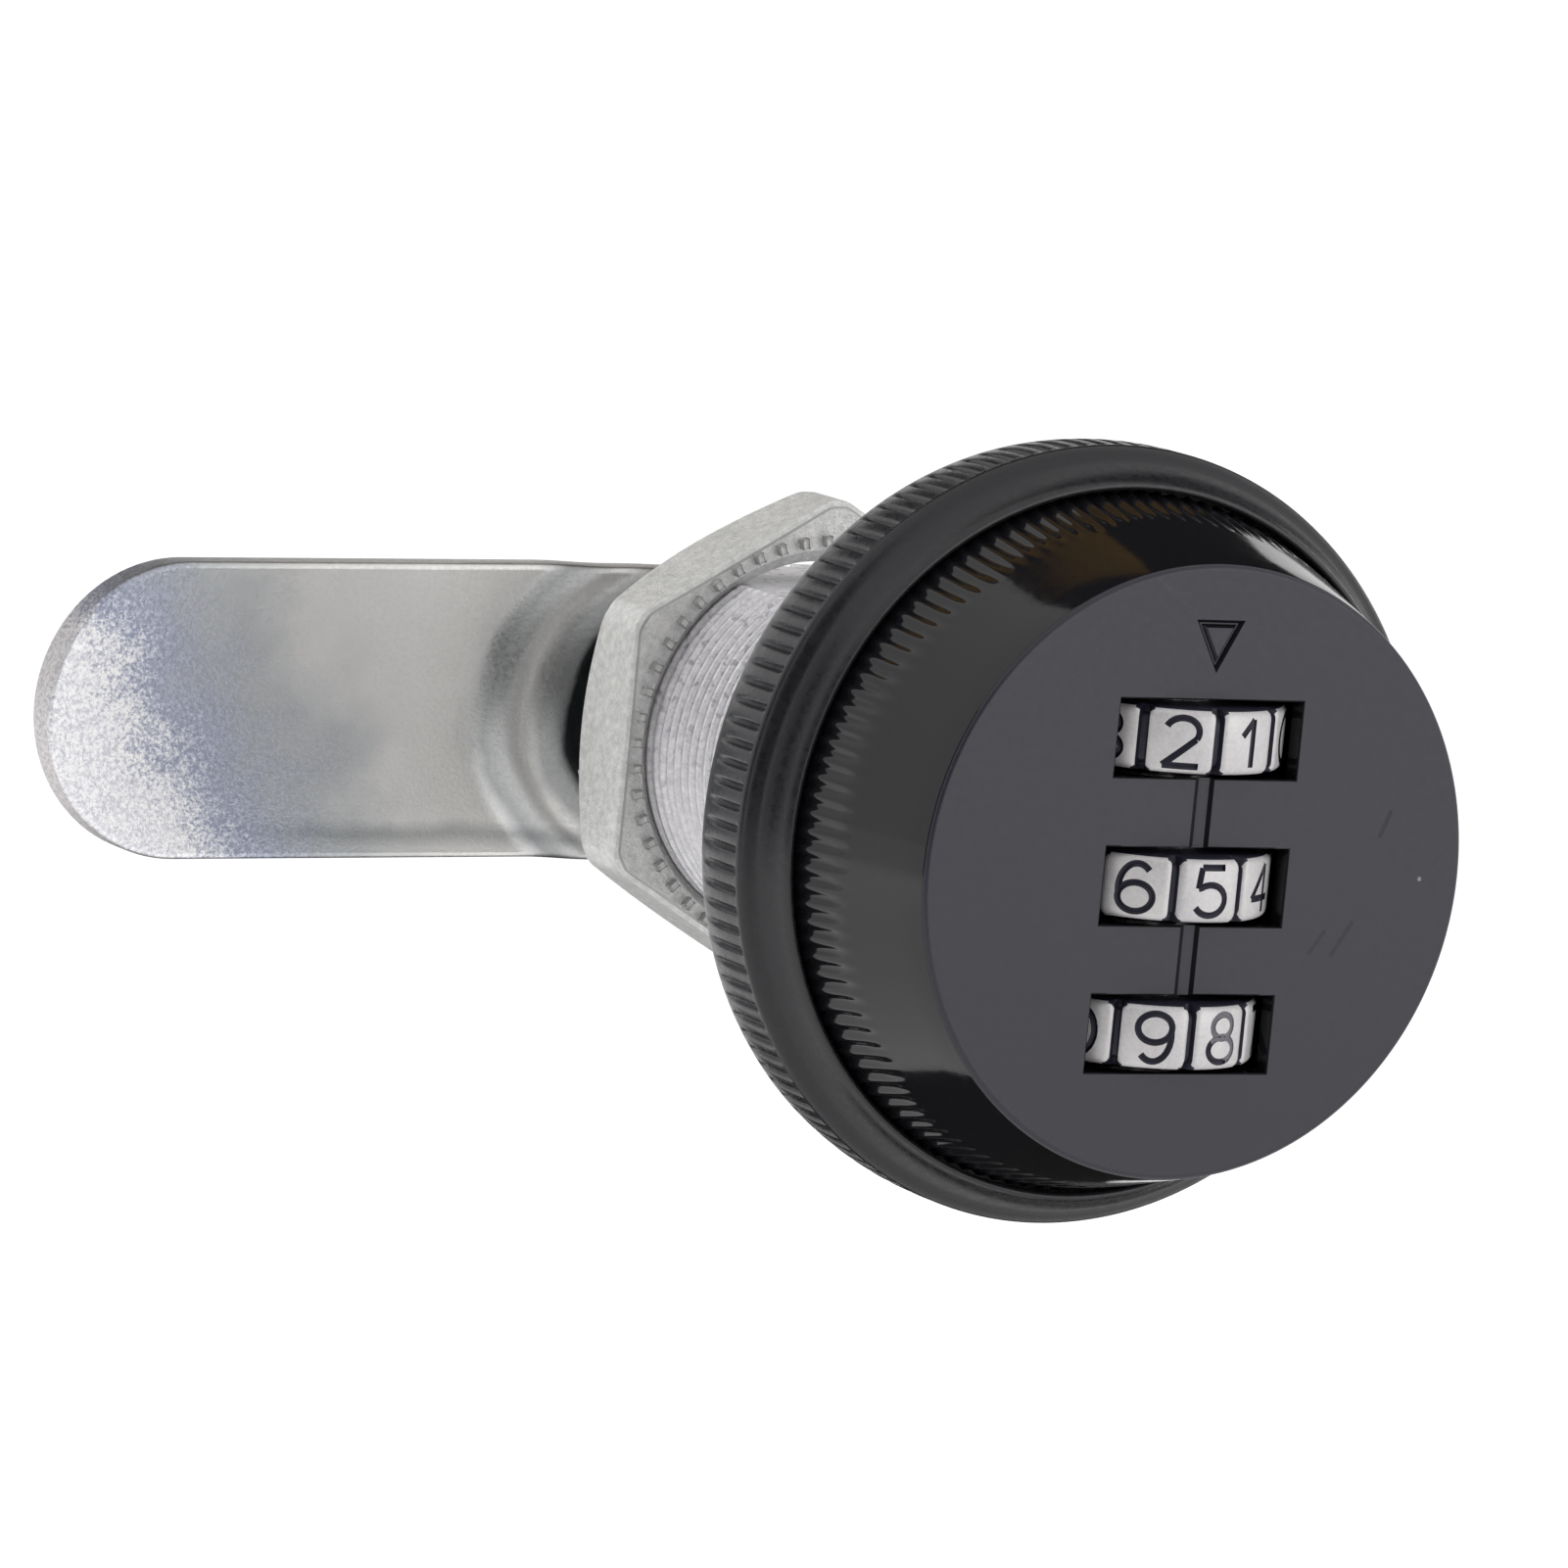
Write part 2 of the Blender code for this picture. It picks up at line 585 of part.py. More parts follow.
def make_knob_shell():
    edge_x = face_radius - KNOB_EDGE
    shoulder = face_height - RIB_FRONT_DEPTH
    outline = [(0, face_height)]
    outline += arc(edge_x, face_height - KNOB_EDGE, KNOB_EDGE, 90, 15, 2)
    outline += [
        (rib_front_crest - RIB_PROUD, shoulder),
        (skirt_radius, rib_rear - HAIR),
        (skirt_radius, knob_rear),
        (skirt_radius - KNOB_WALL, knob_rear),
        (skirt_radius - KNOB_WALL, rib_rear),
        (face_radius + KNOB_TAPER * KNOB_ROOF - KNOB_WALL, roof_height),
        (0, roof_height),
    ]
    shell = turned("knob_shell", outline, LARGE_SEGMENTS, knob_axis, black_plastic, ring=False)
    ribs = ribbed_ring("knob_ribs", rib_rear_crest, rib_front_crest, RIB_DEPTH, RIB_COUNT,
                       skirt_radius - KNOB_WALL / 2, rib_rear, rib_front, knob_axis)
    for side, name in ((-1, "left_boss"), (1, "right_boss")):
        spot = (side * SCREW_SPREAD, STACK_OFFSET)
        boss = round_bar(name, SCREW_BOSS, base_front + GAP, roof_height + KNOB_ROOF / 3, SMALL_SEGMENTS,
                         knob_axis, at=spot)
        hole = round_bar(name + "_pilot", SCREW_RADIUS + RUN, base_front - REACH,
                         base_rear + SCREW_LENGTH + REACH, SMALL_SEGMENTS, knob_axis, at=spot)
        join(shell, boss)
        cut(shell, hole)
    post = round_bar("spring_post", BOLT_SPRING_RADIUS, bolt_front + GAP + BOLT_SPRING_LENGTH + GAP,
                     roof_height + KNOB_ROOF / 3, SMALL_SEGMENTS, knob_axis, at=(bar_x, nose_y))
    join(shell, post)
    for i, row in enumerate(wheel_rows):
        low = (-WINDOW_WIDTH / 2, row - WINDOW_HEIGHT / 2, roof_height - REACH)
        high = (WINDOW_WIDTH / 2, row + WINDOW_HEIGHT / 2, face_height + REACH)
        cut(shell, block(f"window_{i + 1}", low, high, knob_axis))
        # Room in the roof for the wheel and for its gate disc
        cut(shell, round_bar(f"wheel_relief_{i + 1}", WHEEL_RADIUS + GAP, -WINDOW_HEIGHT / 2,
                             WINDOW_HEIGHT / 2, MEDIUM_SEGMENTS, wheel_axes[i]))
        cut(shell, round_bar(f"disc_relief_{i + 1}", GATE_DISC_RADIUS + GAP, disc_low - RUN / 2,
                             disc_high + RUN / 2, MEDIUM_SEGMENTS, wheel_axes[i]))
    for i in range(2):
        low = (-INDEX_WIDTH / 2, wheel_rows[i + 1], face_height - INDEX_DEPTH)
        high = (INDEX_WIDTH / 2, wheel_rows[i], face_height + REACH)
        cut(shell, block(f"index_groove_{i + 1}", low, high, knob_axis))
    cut(shell, mark_groove())
    return join(shell, ribs)


def mark_groove():
    # Outline of a triangle that points at the upper window
    apex = wheel_rows[0] + WINDOW_HEIGHT / 2 + MARK_ABOVE_WINDOW
    half = MARK_WIDTH / 2
    top = apex + MARK_HEIGHT
    slant = math.hypot(half, MARK_HEIGHT)
    # The inner triangle lies one stroke inside each of the three sides
    inner_top = top - MARK_STROKE
    inner_apex = apex + MARK_STROKE * slant / half
    inner_half = (inner_top - inner_apex) * half / MARK_HEIGHT
    outer = [(-half, top), (0, apex), (half, top)]
    inner = [(-inner_half, inner_top), (0, inner_apex), (inner_half, inner_top)]
    return plate("mark_groove", [outer, inner], face_height - MARK_DEPTH, face_height + REACH, knob_axis)


def make_dial_carrier():
    carrier = round_bar("dial_carrier", carrier_radius, base_rear, base_front, MEDIUM_SEGMENTS, knob_axis,
                        grey_plastic)
    for name, low, high in (("upper_cheek", upper_cheek, upper_cheek + CHEEK_THICKNESS),
                            ("lower_cheek", lower_cheek - CHEEK_THICKNESS, lower_cheek)):
        outline = [(-CHEEK_HALF_WIDTH, 0), (CHEEK_HALF_WIDTH, 0)]
        crown = cheek_top - base_front + BASE_THICKNESS / 2
        shoulder = crown - CHEEK_HALF_WIDTH / 2
        outline += [(CHEEK_HALF_WIDTH, shoulder), (CHEEK_HALF_WIDTH / 2, crown)]
        outline += [(-CHEEK_HALF_WIDTH / 2, crown), (-CHEEK_HALF_WIDTH, shoulder)]
        cheek = plate(name, [outline], 0, high - low, knob_axis)
        cheek.rotation_euler = (math.pi / 2, 0, 0)
        cheek.location = (0, high, base_front - BASE_THICKNESS / 2)
        join(carrier, cheek)
    reach = stack_reach + REACH
    axle_hole = round_bar("axle_hole", AXLE_RADIUS + RUN, -reach, reach, SMALL_SEGMENTS, knob_axis)
    axle_hole.rotation_euler = (math.pi / 2, 0, 0)
    axle_hole.location = (0, 0, axle_height)
    cut(carrier, axle_hole)
    room = TENON_HALF + RUN
    cut(carrier, block("tenon_hole", (-room, -room, base_rear - REACH), (room, room, base_front + REACH),
                       knob_axis))
    cut(carrier, round_bar("nose_hole", NOSE_RADIUS + RUN, base_rear - REACH, base_front + REACH,
                           SMALL_SEGMENTS, knob_axis, at=(bar_x, nose_y)))
    for side, name in ((-1, "left_seat"), (1, "right_seat")):
        spot = (side * SCREW_SPREAD, STACK_OFFSET)
        # The countersink has the same slope as the screw's cone, which is 45 degrees
        depth = SCREW_HEAD_RADIUS - SCREW_RADIUS
        neck = SCREW_RADIUS + RUN
        sink = round_bar(name, SCREW_HEAD_RADIUS + RUN + REACH / 2, base_rear - REACH / 2, base_rear + depth,
                         SMALL_SEGMENTS, knob_axis, at=spot, end_radius=neck)
        through = round_bar(name + "_hole", neck, base_rear, base_front + REACH, SMALL_SEGMENTS, knob_axis,
                            at=spot)
        cut(carrier, sink)
        cut(carrier, through)
    return carrier


def make_carrier_screw(name, side):
    # Countersunk, its head flush with the carrier's rear face
    depth = SCREW_HEAD_RADIUS - SCREW_RADIUS
    outline = [
        (0, base_rear + SCREW_LENGTH),
        (SCREW_RADIUS - SCREW_POINT, base_rear + SCREW_LENGTH),
        (SCREW_RADIUS, base_rear + SCREW_LENGTH - SCREW_POINT),
        (SCREW_RADIUS, base_rear + depth),
        (SCREW_HEAD_RADIUS, base_rear),
        (0, base_rear),
    ]
    screw = turned(name, outline, SMALL_SEGMENTS, knob_axis, zinc_plate, ring=False)
    screw.location = (side * SCREW_SPREAD, STACK_OFFSET, 0)
    slot = block(name + "_slot", (-SCREW_HEAD_RADIUS, -SCREW_SLOT / 2, base_rear - REACH),
                 (SCREW_HEAD_RADIUS, SCREW_SLOT / 2, base_rear + SCREW_SLOT), knob_axis)
    slot.location = screw.location
    return cut(screw, slot)


def make_axle():
    low = lower_cheek - CHEEK_THICKNESS + HAIR
    high = upper_cheek + CHEEK_THICKNESS - HAIR
    outline = [
        (0, high),
        (AXLE_RADIUS - AXLE_EDGE, high),
        (AXLE_RADIUS, high - AXLE_EDGE),
        (AXLE_RADIUS, low + AXLE_EDGE),
        (AXLE_RADIUS - AXLE_EDGE, low),
        (0, low),
    ]
    axle = turned("dial_axle", outline, SMALL_SEGMENTS, None, spring_steel, ring=False)
    stand_on_axle(axle)
    return axle


def stand_on_axle(obj):
    # Local Z is the dial axle; the lock's axis is where height zero lies
    obj.parent = knob_axis
    obj.rotation_euler = (-math.pi / 2, 0, 0)
    obj.location = (0, 0, axle_height)


def make_axle_spring():
    spring = coil("axle_spring", AXLE_RADIUS + RUN + 2 * AXLE_SPRING_WIRE, AXLE_SPRING_WIRE,
                  axle_spring_top - AXLE_SPRING_LENGTH, axle_spring_top, AXLE_SPRING_TURNS, (0, 0),
                  None, spring_steel)
    stand_on_axle(spring)
    return spring


def make_number_wheel(index):
    # Tiles with rounded shoulders and a V-shaped groove between neighbours
    step = 2 * math.pi / TILES
    edge = step / 2 - TILE_GROOVE / WHEEL_RADIUS / 2
    shoulder = TILE_SHOULDER / WHEEL_RADIUS
    drop = WHEEL_RADIUS - TILE_SHOULDER_DROP
    # The tile that shows in the window, turned from the front towards +X
    first = -math.pi / 2 + math.radians(FIRST_DIGIT_TURN[index])
    rim = []
    for i in range(TILES):
        middle = first + i * step
        rim.append((WHEEL_RADIUS - TILE_GROOVE_DEPTH, middle - step / 2))
        rim.append((drop, middle - edge))
        for share in (-1, 0, 1):
            rim.append((WHEEL_RADIUS, middle + share * (edge - shoulder)))
        rim.append((drop, middle + edge))
    outline = [(radius * math.cos(angle), radius * math.sin(angle)) for radius, angle in rim]
    # A V-shaped keyway for each digit, wide enough for the sleeve's key
    key_half = (KEY_HALF + RUN) / WHEEL_BORE
    bore = []
    for i in range(TILES):
        middle = -math.pi / 2 + i * step
        bore.append((WHEEL_BORE, middle - key_half))
        bore.append((WHEEL_BORE + KEYWAY_DEPTH, middle))
        bore.append((WHEEL_BORE, middle + key_half))
    hole = [(radius * math.cos(angle), radius * math.sin(angle)) for radius, angle in bore]
    return plate(f"number_wheel_{index + 1}", [outline, hole], -WHEEL_HEIGHT / 2, WHEEL_HEIGHT / 2,
                 wheel_axes[index], silver)


def make_code_sleeve(index):
    # A keyed tube with a gate disc: the gate faces the locking bolt when the code is set
    half = WHEEL_HEIGHT / 2
    bore = AXLE_RADIUS + RUN
    outline = [
        (bore, disc_high),
        (GATE_DISC_RADIUS, disc_high),
        (GATE_DISC_RADIUS, disc_low),
        (SLEEVE_RADIUS, disc_low),
        (SLEEVE_RADIUS, -half),
        (bore, -half),
    ]
    sleeve = turned(f"code_sleeve_{index + 1}", outline, SMALL_SEGMENTS, wheel_axes[index], cast_zinc)
    # Towards +Y is towards the bolt, behind the wheels
    gate_half = BOLT_TOOTH_HALF + GAP / 2
    gate = block(f"gate_{index + 1}", (-gate_half, GATE_DISC_RADIUS - GATE_DEPTH, disc_low - REACH),
                 (gate_half, GATE_DISC_RADIUS + REACH, disc_high + REACH), wheel_axes[index])
    key = plate(f"key_{index + 1}", [[
        (-KEY_HALF, -SLEEVE_RADIUS + KEY_HALF),
        (-KEY_HALF, -SLEEVE_RADIUS),
        (0, -WHEEL_BORE - KEYWAY_DEPTH + RUN),
        (KEY_HALF, -SLEEVE_RADIUS),
        (KEY_HALF, -SLEEVE_RADIUS + KEY_HALF),
    ]], -half, disc_low + GATE_DISC_THICKNESS / 2, wheel_axes[index])
    join(sleeve, key)
    cut(sleeve, gate)
    return sleeve


def make_detent_spring():
    # Folded leaf beside the wheels: a foot on the carrier and one sprung finger for each wheel
    foot = base_front + GAP
    tip = axle_height + LEAF_TIP
    outer = -leaf_x - LEAF_THICKNESS
    outline = [
        (-leaf_x, foot),
        (-leaf_x, axle_height - LEAF_NIB),
        (-leaf_x + LEAF_NIB, axle_height),
        (-leaf_x, axle_height + LEAF_NIB),
        (-leaf_x, tip),
        (outer, tip),
        (outer, foot + LEAF_THICKNESS),
        (outer - LEAF_FOOT, foot + LEAF_THICKNESS),
        (outer - LEAF_FOOT, foot),
    ]
    low = wheel_rows[2] - LEAF_FINGER / 2
    high = wheel_rows[0] + LEAF_FINGER / 2
    # The outline is drawn upright in XZ, so the sheet is turned onto it
    leaf = plate("detent_spring", [outline], 0, high - low, knob_axis, spring_steel)
    leaf.rotation_euler = (math.pi / 2, 0, 0)
    leaf.location = (0, high, 0)
    for i in range(2):
        near = wheel_rows[i + 1] + LEAF_FINGER / 2
        far = wheel_rows[i] - LEAF_FINGER / 2
        cut(leaf, block(f"leaf_slit_{i + 1}", (outer - REACH, near, foot + LEAF_SLIT),
                        (-leaf_x + LEAF_NIB + REACH, far, tip + REACH), knob_axis))
    return leaf


def make_spindle():
    head_rear = FLANGE_THICKNESS - SPINDLE_HEAD_THICKNESS
    tail = cam_rear + RUN
    groove_front = clip_front + RUN / 2
    groove_rear = clip_front - CLIP_THICKNESS - RUN / 2
    groove = SPINDLE_RADIUS - CLIP_GROOVE_DEPTH
    outline = [
        (0, FLANGE_THICKNESS),
        (SPINDLE_HEAD_RADIUS, FLANGE_THICKNESS),
        (SPINDLE_HEAD_RADIUS, head_rear),
        (SPINDLE_RADIUS, head_rear),
        (SPINDLE_RADIUS, groove_front),
        (groove, groove_front),
        (groove, groove_rear),
        (SPINDLE_RADIUS, groove_rear),
        (SPINDLE_RADIUS, shank_front),
        (0, shank_front),
    ]
    spindle = turned("spindle", outline, MEDIUM_SEGMENTS, knob_axis, cast_zinc, ring=False)
    join(spindle, block("front_tenon", (-TENON_HALF, -TENON_HALF, FLANGE_THICKNESS - REACH),
                        (TENON_HALF, TENON_HALF, base_front - HAIR), knob_axis))
    join(spindle, block("rear_shank", (-SHANK_HALF, -SHANK_HALF, tail),
                        (SHANK_HALF, SHANK_HALF, shank_front + REACH), knob_axis))
    cut(spindle, round_bar("screw_hole", CAM_SCREW_RADIUS + RUN, tail - REACH,
                           screw_head_front + CAM_SCREW_LENGTH + REACH, SMALL_SEGMENTS, knob_axis))
    return spindle


def make_retaining_clip():
    # Open ring, its mouth downwards, with round ends
    bore = SPINDLE_RADIUS - CLIP_GROOVE_DEPTH + RUN
    half = CLIP_MOUTH / 2
    start = -90 + half
    end = 270 - half
    outline = arc(0, 0, CLIP_RADIUS, start, end, SMALL_SEGMENTS)
    outline += arc(0, 0, bore, end, start, SMALL_SEGMENTS)
    return plate("retaining_clip", [outline], clip_front - CLIP_THICKNESS, clip_front, knob_axis,
                 spring_steel)


def make_stop_washer():
    # Round washer on the square shank, with a tab that meets the walls of the barrel's rear rim
    spread = math.degrees(math.asin(STOP_TAB_HALF / STOP_WASHER_RADIUS))
    outline = arc(0, 0, STOP_WASHER_RADIUS, -180 + spread, 180 - spread, MEDIUM_SEGMENTS)
    outline += [(-STOP_TAB_REACH, STOP_TAB_HALF), (-STOP_TAB_REACH, -STOP_TAB_HALF)]
    outlines = [outline, square(SHANK_HALF + RUN)]
    return plate("stop_washer", outlines, washer_front - STOP_WASHER_THICKNESS, washer_front, knob_axis,
                 zinc_plate)


def square(half):
    return [(-half, -half), (half, -half), (half, half), (-half, half)]


def make_cam():
    # A pressed dish, flat at the hub and stepped back at the crank, cut to the arm's outline
    bend = CAM_BEND
    reach = CAM_LENGTH + REACH
    arm_front = cam_front - CAM_CRANK
    outline = [
        (0, cam_front),
        (CAM_CRANK_START - bend, cam_front),
        (CAM_CRANK_START + bend, cam_front - bend / 2),
        (CAM_CRANK_RADIUS - bend, arm_front + bend / 2),
        (CAM_CRANK_RADIUS + bend, arm_front),
        (reach, arm_front),
        (reach, arm_front - CAM_THICKNESS),
        (CAM_CRANK_RADIUS + bend / 2, arm_front - CAM_THICKNESS),
        (CAM_CRANK_RADIUS - bend, arm_front - CAM_THICKNESS + bend / 2),
        (CAM_CRANK_START + bend / 2, cam_rear - bend / 2),
        (CAM_CRANK_START - bend, cam_rear),
        (0, cam_rear),
    ]
    cam = turned("cam", outline, LARGE_SEGMENTS, knob_axis, zinc_plate, ring=False)
    # Arm outline: round hub, straight sides and a round end
    join_x = -math.sqrt(CAM_HUB_RADIUS ** 2 - CAM_HALF_WIDTH ** 2)
    join_angle = math.degrees(math.atan2(CAM_HALF_WIDTH, join_x))
    end_centre = -(CAM_LENGTH - CAM_HALF_WIDTH)
    outline = arc(0, 0, CAM_HUB_RADIUS, -join_angle, join_angle, SMALL_SEGMENTS)
    outline += arc(end_centre, 0, CAM_HALF_WIDTH, 90, 270, SMALL_SEGMENTS)
    blank = plate("cam_outline", [outline, square(SHANK_HALF + RUN)], arm_front - CAM_THICKNESS - REACH,
                  cam_front + REACH, knob_axis)
    combine(cam, blank, "INTERSECT")
    return cam


def make_cam_washer():
    front = cam_rear - GAP
    outlines = [circle(WASHER_RADIUS, MEDIUM_SEGMENTS), circle(CAM_SCREW_RADIUS + RUN, SMALL_SEGMENTS)]
    return plate("cam_washer", outlines, front - WASHER_THICKNESS, front, knob_axis, zinc_plate)


def make_spring_washer():
    # One coil of flat wire with a slit, pressed flat by the screw
    front = cam_rear - GAP - WASHER_THICKNESS - RUN
    outline = arc(0, 0, SPRING_WASHER_RADIUS, SPRING_WASHER_SLIT, 360, SMALL_SEGMENTS)
    outline += arc(0, 0, CAM_SCREW_RADIUS + RUN, 360, SPRING_WASHER_SLIT, SMALL_SEGMENTS)
    return plate("spring_washer", [outline], front - SPRING_WASHER_THICKNESS, front, knob_axis,
                 spring_steel)


def make_cam_screw():
    rear = screw_head_front - CAM_SCREW_HEAD
    corner = CAM_SCREW_HEX / math.cos(math.radians(30))
    head = round_bar("cam_screw", corner, rear, screw_head_front, 6, knob_axis, zinc_plate)
    outer = corner + REACH
    drop = (outer - CAM_SCREW_CROWN) * math.tan(math.radians(30))
    blank = turned("screw_head_blank", [
        (0, screw_head_front + REACH),
        (outer, screw_head_front + REACH),
        (outer, rear + drop),
        (CAM_SCREW_CROWN, rear),
        (0, rear),
    ], MEDIUM_SEGMENTS, knob_axis, ring=False)
    combine(head, blank, "INTERSECT")
    shank = round_bar("cam_screw_shank", CAM_SCREW_RADIUS, screw_head_front - REACH,
                      screw_head_front + CAM_SCREW_LENGTH, SMALL_SEGMENTS, knob_axis)
    join(head, shank)
    return head


def make_locking_bolt():
    # A comb: a bar beside the wheels, a tooth under each gate disc and a nose in the flange's groove
    right = bar_x + BOLT_BAR_WIDTH / 2
    left = bar_x - BOLT_BAR_WIDTH / 2
    tip = -BOLT_TOOTH_HALF
    top = wheel_rows[0] + disc_high
    outline = arc(bar_x, nose_y, BOLT_BAR_WIDTH / 2, 180, 360, SMALL_SEGMENTS // 2)
    outline += [(right, top), (tip, top)]
    for i, row in enumerate(wheel_rows):
        low = row + disc_low
        outline += [(tip, low), (left, low)]
        if i < 2:
            following = wheel_rows[i + 1] + disc_high
            outline += [(left, following), (tip, following)]
    bolt = plate("locking_bolt", [outline], bolt_rear, bolt_front, knob_axis, zinc_plate)
    for i, row in enumerate(wheel_rows):
        join(bolt, block(f"bolt_tooth_{i + 1}", (tip, row + disc_low, bolt_rear + BOLT_THICKNESS / 2),
                         (-tip, row + disc_high, tooth_front), knob_axis))
    nose = round_bar("bolt_nose", NOSE_RADIUS, nose_rear, bolt_rear + BOLT_THICKNESS / 2, SMALL_SEGMENTS,
                     knob_axis, at=(bar_x, nose_y))
    return join(bolt, nose)


def make_bolt_spring():
    low = bolt_front + GAP
    return coil("bolt_spring", BOLT_SPRING_RADIUS, BOLT_SPRING_WIRE, low, low + BOLT_SPRING_LENGTH,
                BOLT_SPRING_TURNS, (bar_x, nose_y), knob_axis, spring_steel)


for piece in (
    make_barrel(),
    make_bezel(),
    make_nut(),
    make_knob_shell(),
    make_dial_carrier(),
    make_carrier_screw("carrier_screw_left", -1),
    make_carrier_screw("carrier_screw_right", 1),
    make_axle(),
    make_axle_spring(),
    make_detent_spring(),
    make_spindle(),
    make_retaining_clip(),
    make_stop_washer(),
    make_cam(),
    make_cam_washer(),
    make_spring_washer(),
    make_cam_screw(),
    make_locking_bolt(),
    make_bolt_spring(),
):
    shade(merge_flats(piece))

for row_index in range(3):
    shade(make_number_wheel(row_index))
    shade(make_code_sleeve(row_index))

bpy.context.view_layer.update()
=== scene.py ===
import math

import bmesh
import bpy
from mathutils import Matrix, Vector


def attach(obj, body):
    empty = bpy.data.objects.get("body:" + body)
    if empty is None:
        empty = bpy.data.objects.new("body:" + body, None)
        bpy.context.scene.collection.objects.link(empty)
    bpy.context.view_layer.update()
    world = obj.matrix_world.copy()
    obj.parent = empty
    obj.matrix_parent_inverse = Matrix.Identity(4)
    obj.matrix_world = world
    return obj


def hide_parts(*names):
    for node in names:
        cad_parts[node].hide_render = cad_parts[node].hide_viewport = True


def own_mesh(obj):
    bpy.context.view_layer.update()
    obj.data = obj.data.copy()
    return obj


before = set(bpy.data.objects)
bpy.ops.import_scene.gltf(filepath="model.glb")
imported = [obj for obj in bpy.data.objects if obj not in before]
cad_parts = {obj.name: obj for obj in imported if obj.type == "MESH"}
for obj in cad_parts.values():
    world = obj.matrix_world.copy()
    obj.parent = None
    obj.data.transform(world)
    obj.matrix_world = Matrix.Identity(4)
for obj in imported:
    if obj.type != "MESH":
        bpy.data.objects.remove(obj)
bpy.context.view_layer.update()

mm = 0.001
fullTurn = 2 * math.pi
noseUp = math.pi / 2  # pieces are drawn with +Z out of the knob's face, then tipped forward

# Node tools

def addNode(tree, kind, **values):
    node = tree.nodes.new(kind)
    for name, value in values.items():
        setattr(node, name, value)
    return node


def setInputs(node, values):
    for name, value in values.items():
        node.inputs[name].default_value = value
    return node


def link(tree, source, target):
    tree.links.new(source, target)


def feed(tree, value, socket):
    # A number or a colour is set on the socket, another node's output is linked to it
    if isinstance(value, (int, float)):
        socket.default_value = value
    elif isinstance(value, tuple):
        socket.default_value = (*value, 1)
    else:
        link(tree, value, socket)


def mathNode(tree, operation, first, second=None, clamp=False):
    node = addNode(tree, "ShaderNodeMath", operation=operation, use_clamp=clamp)
    feed(tree, first, node.inputs[0])
    if second is not None:
        feed(tree, second, node.inputs[1])
    return node.outputs[0]


def times(tree, first, second):
    return mathNode(tree, "MULTIPLY", first, second)


def plus(tree, first, second):
    return mathNode(tree, "ADD", first, second)


def rangeNode(tree, value, low, high, toLow=0.0, toHigh=1.0):
    node = addNode(tree, "ShaderNodeMapRange", clamp=True)
    link(tree, value, node.inputs["Value"])
    setInputs(node, {"From Min": low, "From Max": high, "To Min": toLow, "To Max": toHigh})
    return node.outputs["Result"]


def mixColor(tree, factor, first, second, blend="MIX"):
    node = addNode(tree, "ShaderNodeMix", data_type="RGBA", blend_type=blend)
    for i, value in ((0, factor), (6, first), (7, second)):
        feed(tree, value, node.inputs[i])
    return node.outputs[2]


def shade(tree, share, tone, color):
    return mixColor(tree, share, tone, color, "MULTIPLY")


def vectorNode(tree, operation, first, second=None):
    node = addNode(tree, "ShaderNodeVectorMath", operation=operation)
    link(tree, first, node.inputs[0])
    if second is not None:
        link(tree, second, node.inputs["Scale" if operation == "SCALE" else 1])
    return node.outputs["Value" if operation in ("DOT_PRODUCT", "LENGTH") else "Vector"]


def axesOf(tree, vector):
    node = addNode(tree, "ShaderNodeSeparateXYZ")
    link(tree, vector, node.inputs[0])
    return node.outputs


def reachOf(tree, x, y):
    # Distance from the lock's axis
    node = addNode(tree, "ShaderNodeCombineXYZ")
    link(tree, x, node.inputs[0])
    link(tree, y, node.inputs[1])
    return vectorNode(tree, "LENGTH", node.outputs[0])


def newGroup(name, inputs, outputs):
    # inputs: name and value of numbers and vectors; outputs: names of numbers
    group = bpy.data.node_groups.new(name, "ShaderNodeTree")
    for socketName, value in inputs.items():
        kind = "NodeSocketVector" if isinstance(value, tuple) else "NodeSocketFloat"
        socket = group.interface.new_socket(socketName, in_out="INPUT", socket_type=kind)
        socket.default_value = value
    for socketName in outputs:
        group.interface.new_socket(socketName, in_out="OUTPUT", socket_type="NodeSocketFloat")
    entry = group.nodes.new("NodeGroupInput")
    leave = group.nodes.new("NodeGroupOutput")
    return group, entry.outputs, leave.inputs


def noiseNode(tree, vector, scale, detail=3.0, roughness=0.6):
    node = addNode(tree, "ShaderNodeTexNoise")
    setInputs(node, {"Detail": detail, "Roughness": roughness})
    link(tree, vector, node.inputs["Vector"])
    feed(tree, scale, node.inputs["Scale"])
    return node.outputs[0]


# Effects shared by the materials

def makeCastGrain():
    # Fine speckle of cast or plated metal and larger soft clouds
    group, given, result = newGroup(
        "castGrain", {"Speckle Scale": 4000.0, "Cloud Scale": 250.0}, ("Speckle", "Cloud"))
    place = addNode(group, "ShaderNodeTexCoord").outputs["Object"]
    speckle = noiseNode(group, place, given["Speckle Scale"], 2.0, 0.7)
    cloud = noiseNode(group, place, given["Cloud Scale"], 3.0, 0.55)
    link(group, rangeNode(group, speckle, 0.3, 0.7), result["Speckle"])
    link(group, rangeNode(group, cloud, 0.32, 0.68), result["Cloud"])
    return group


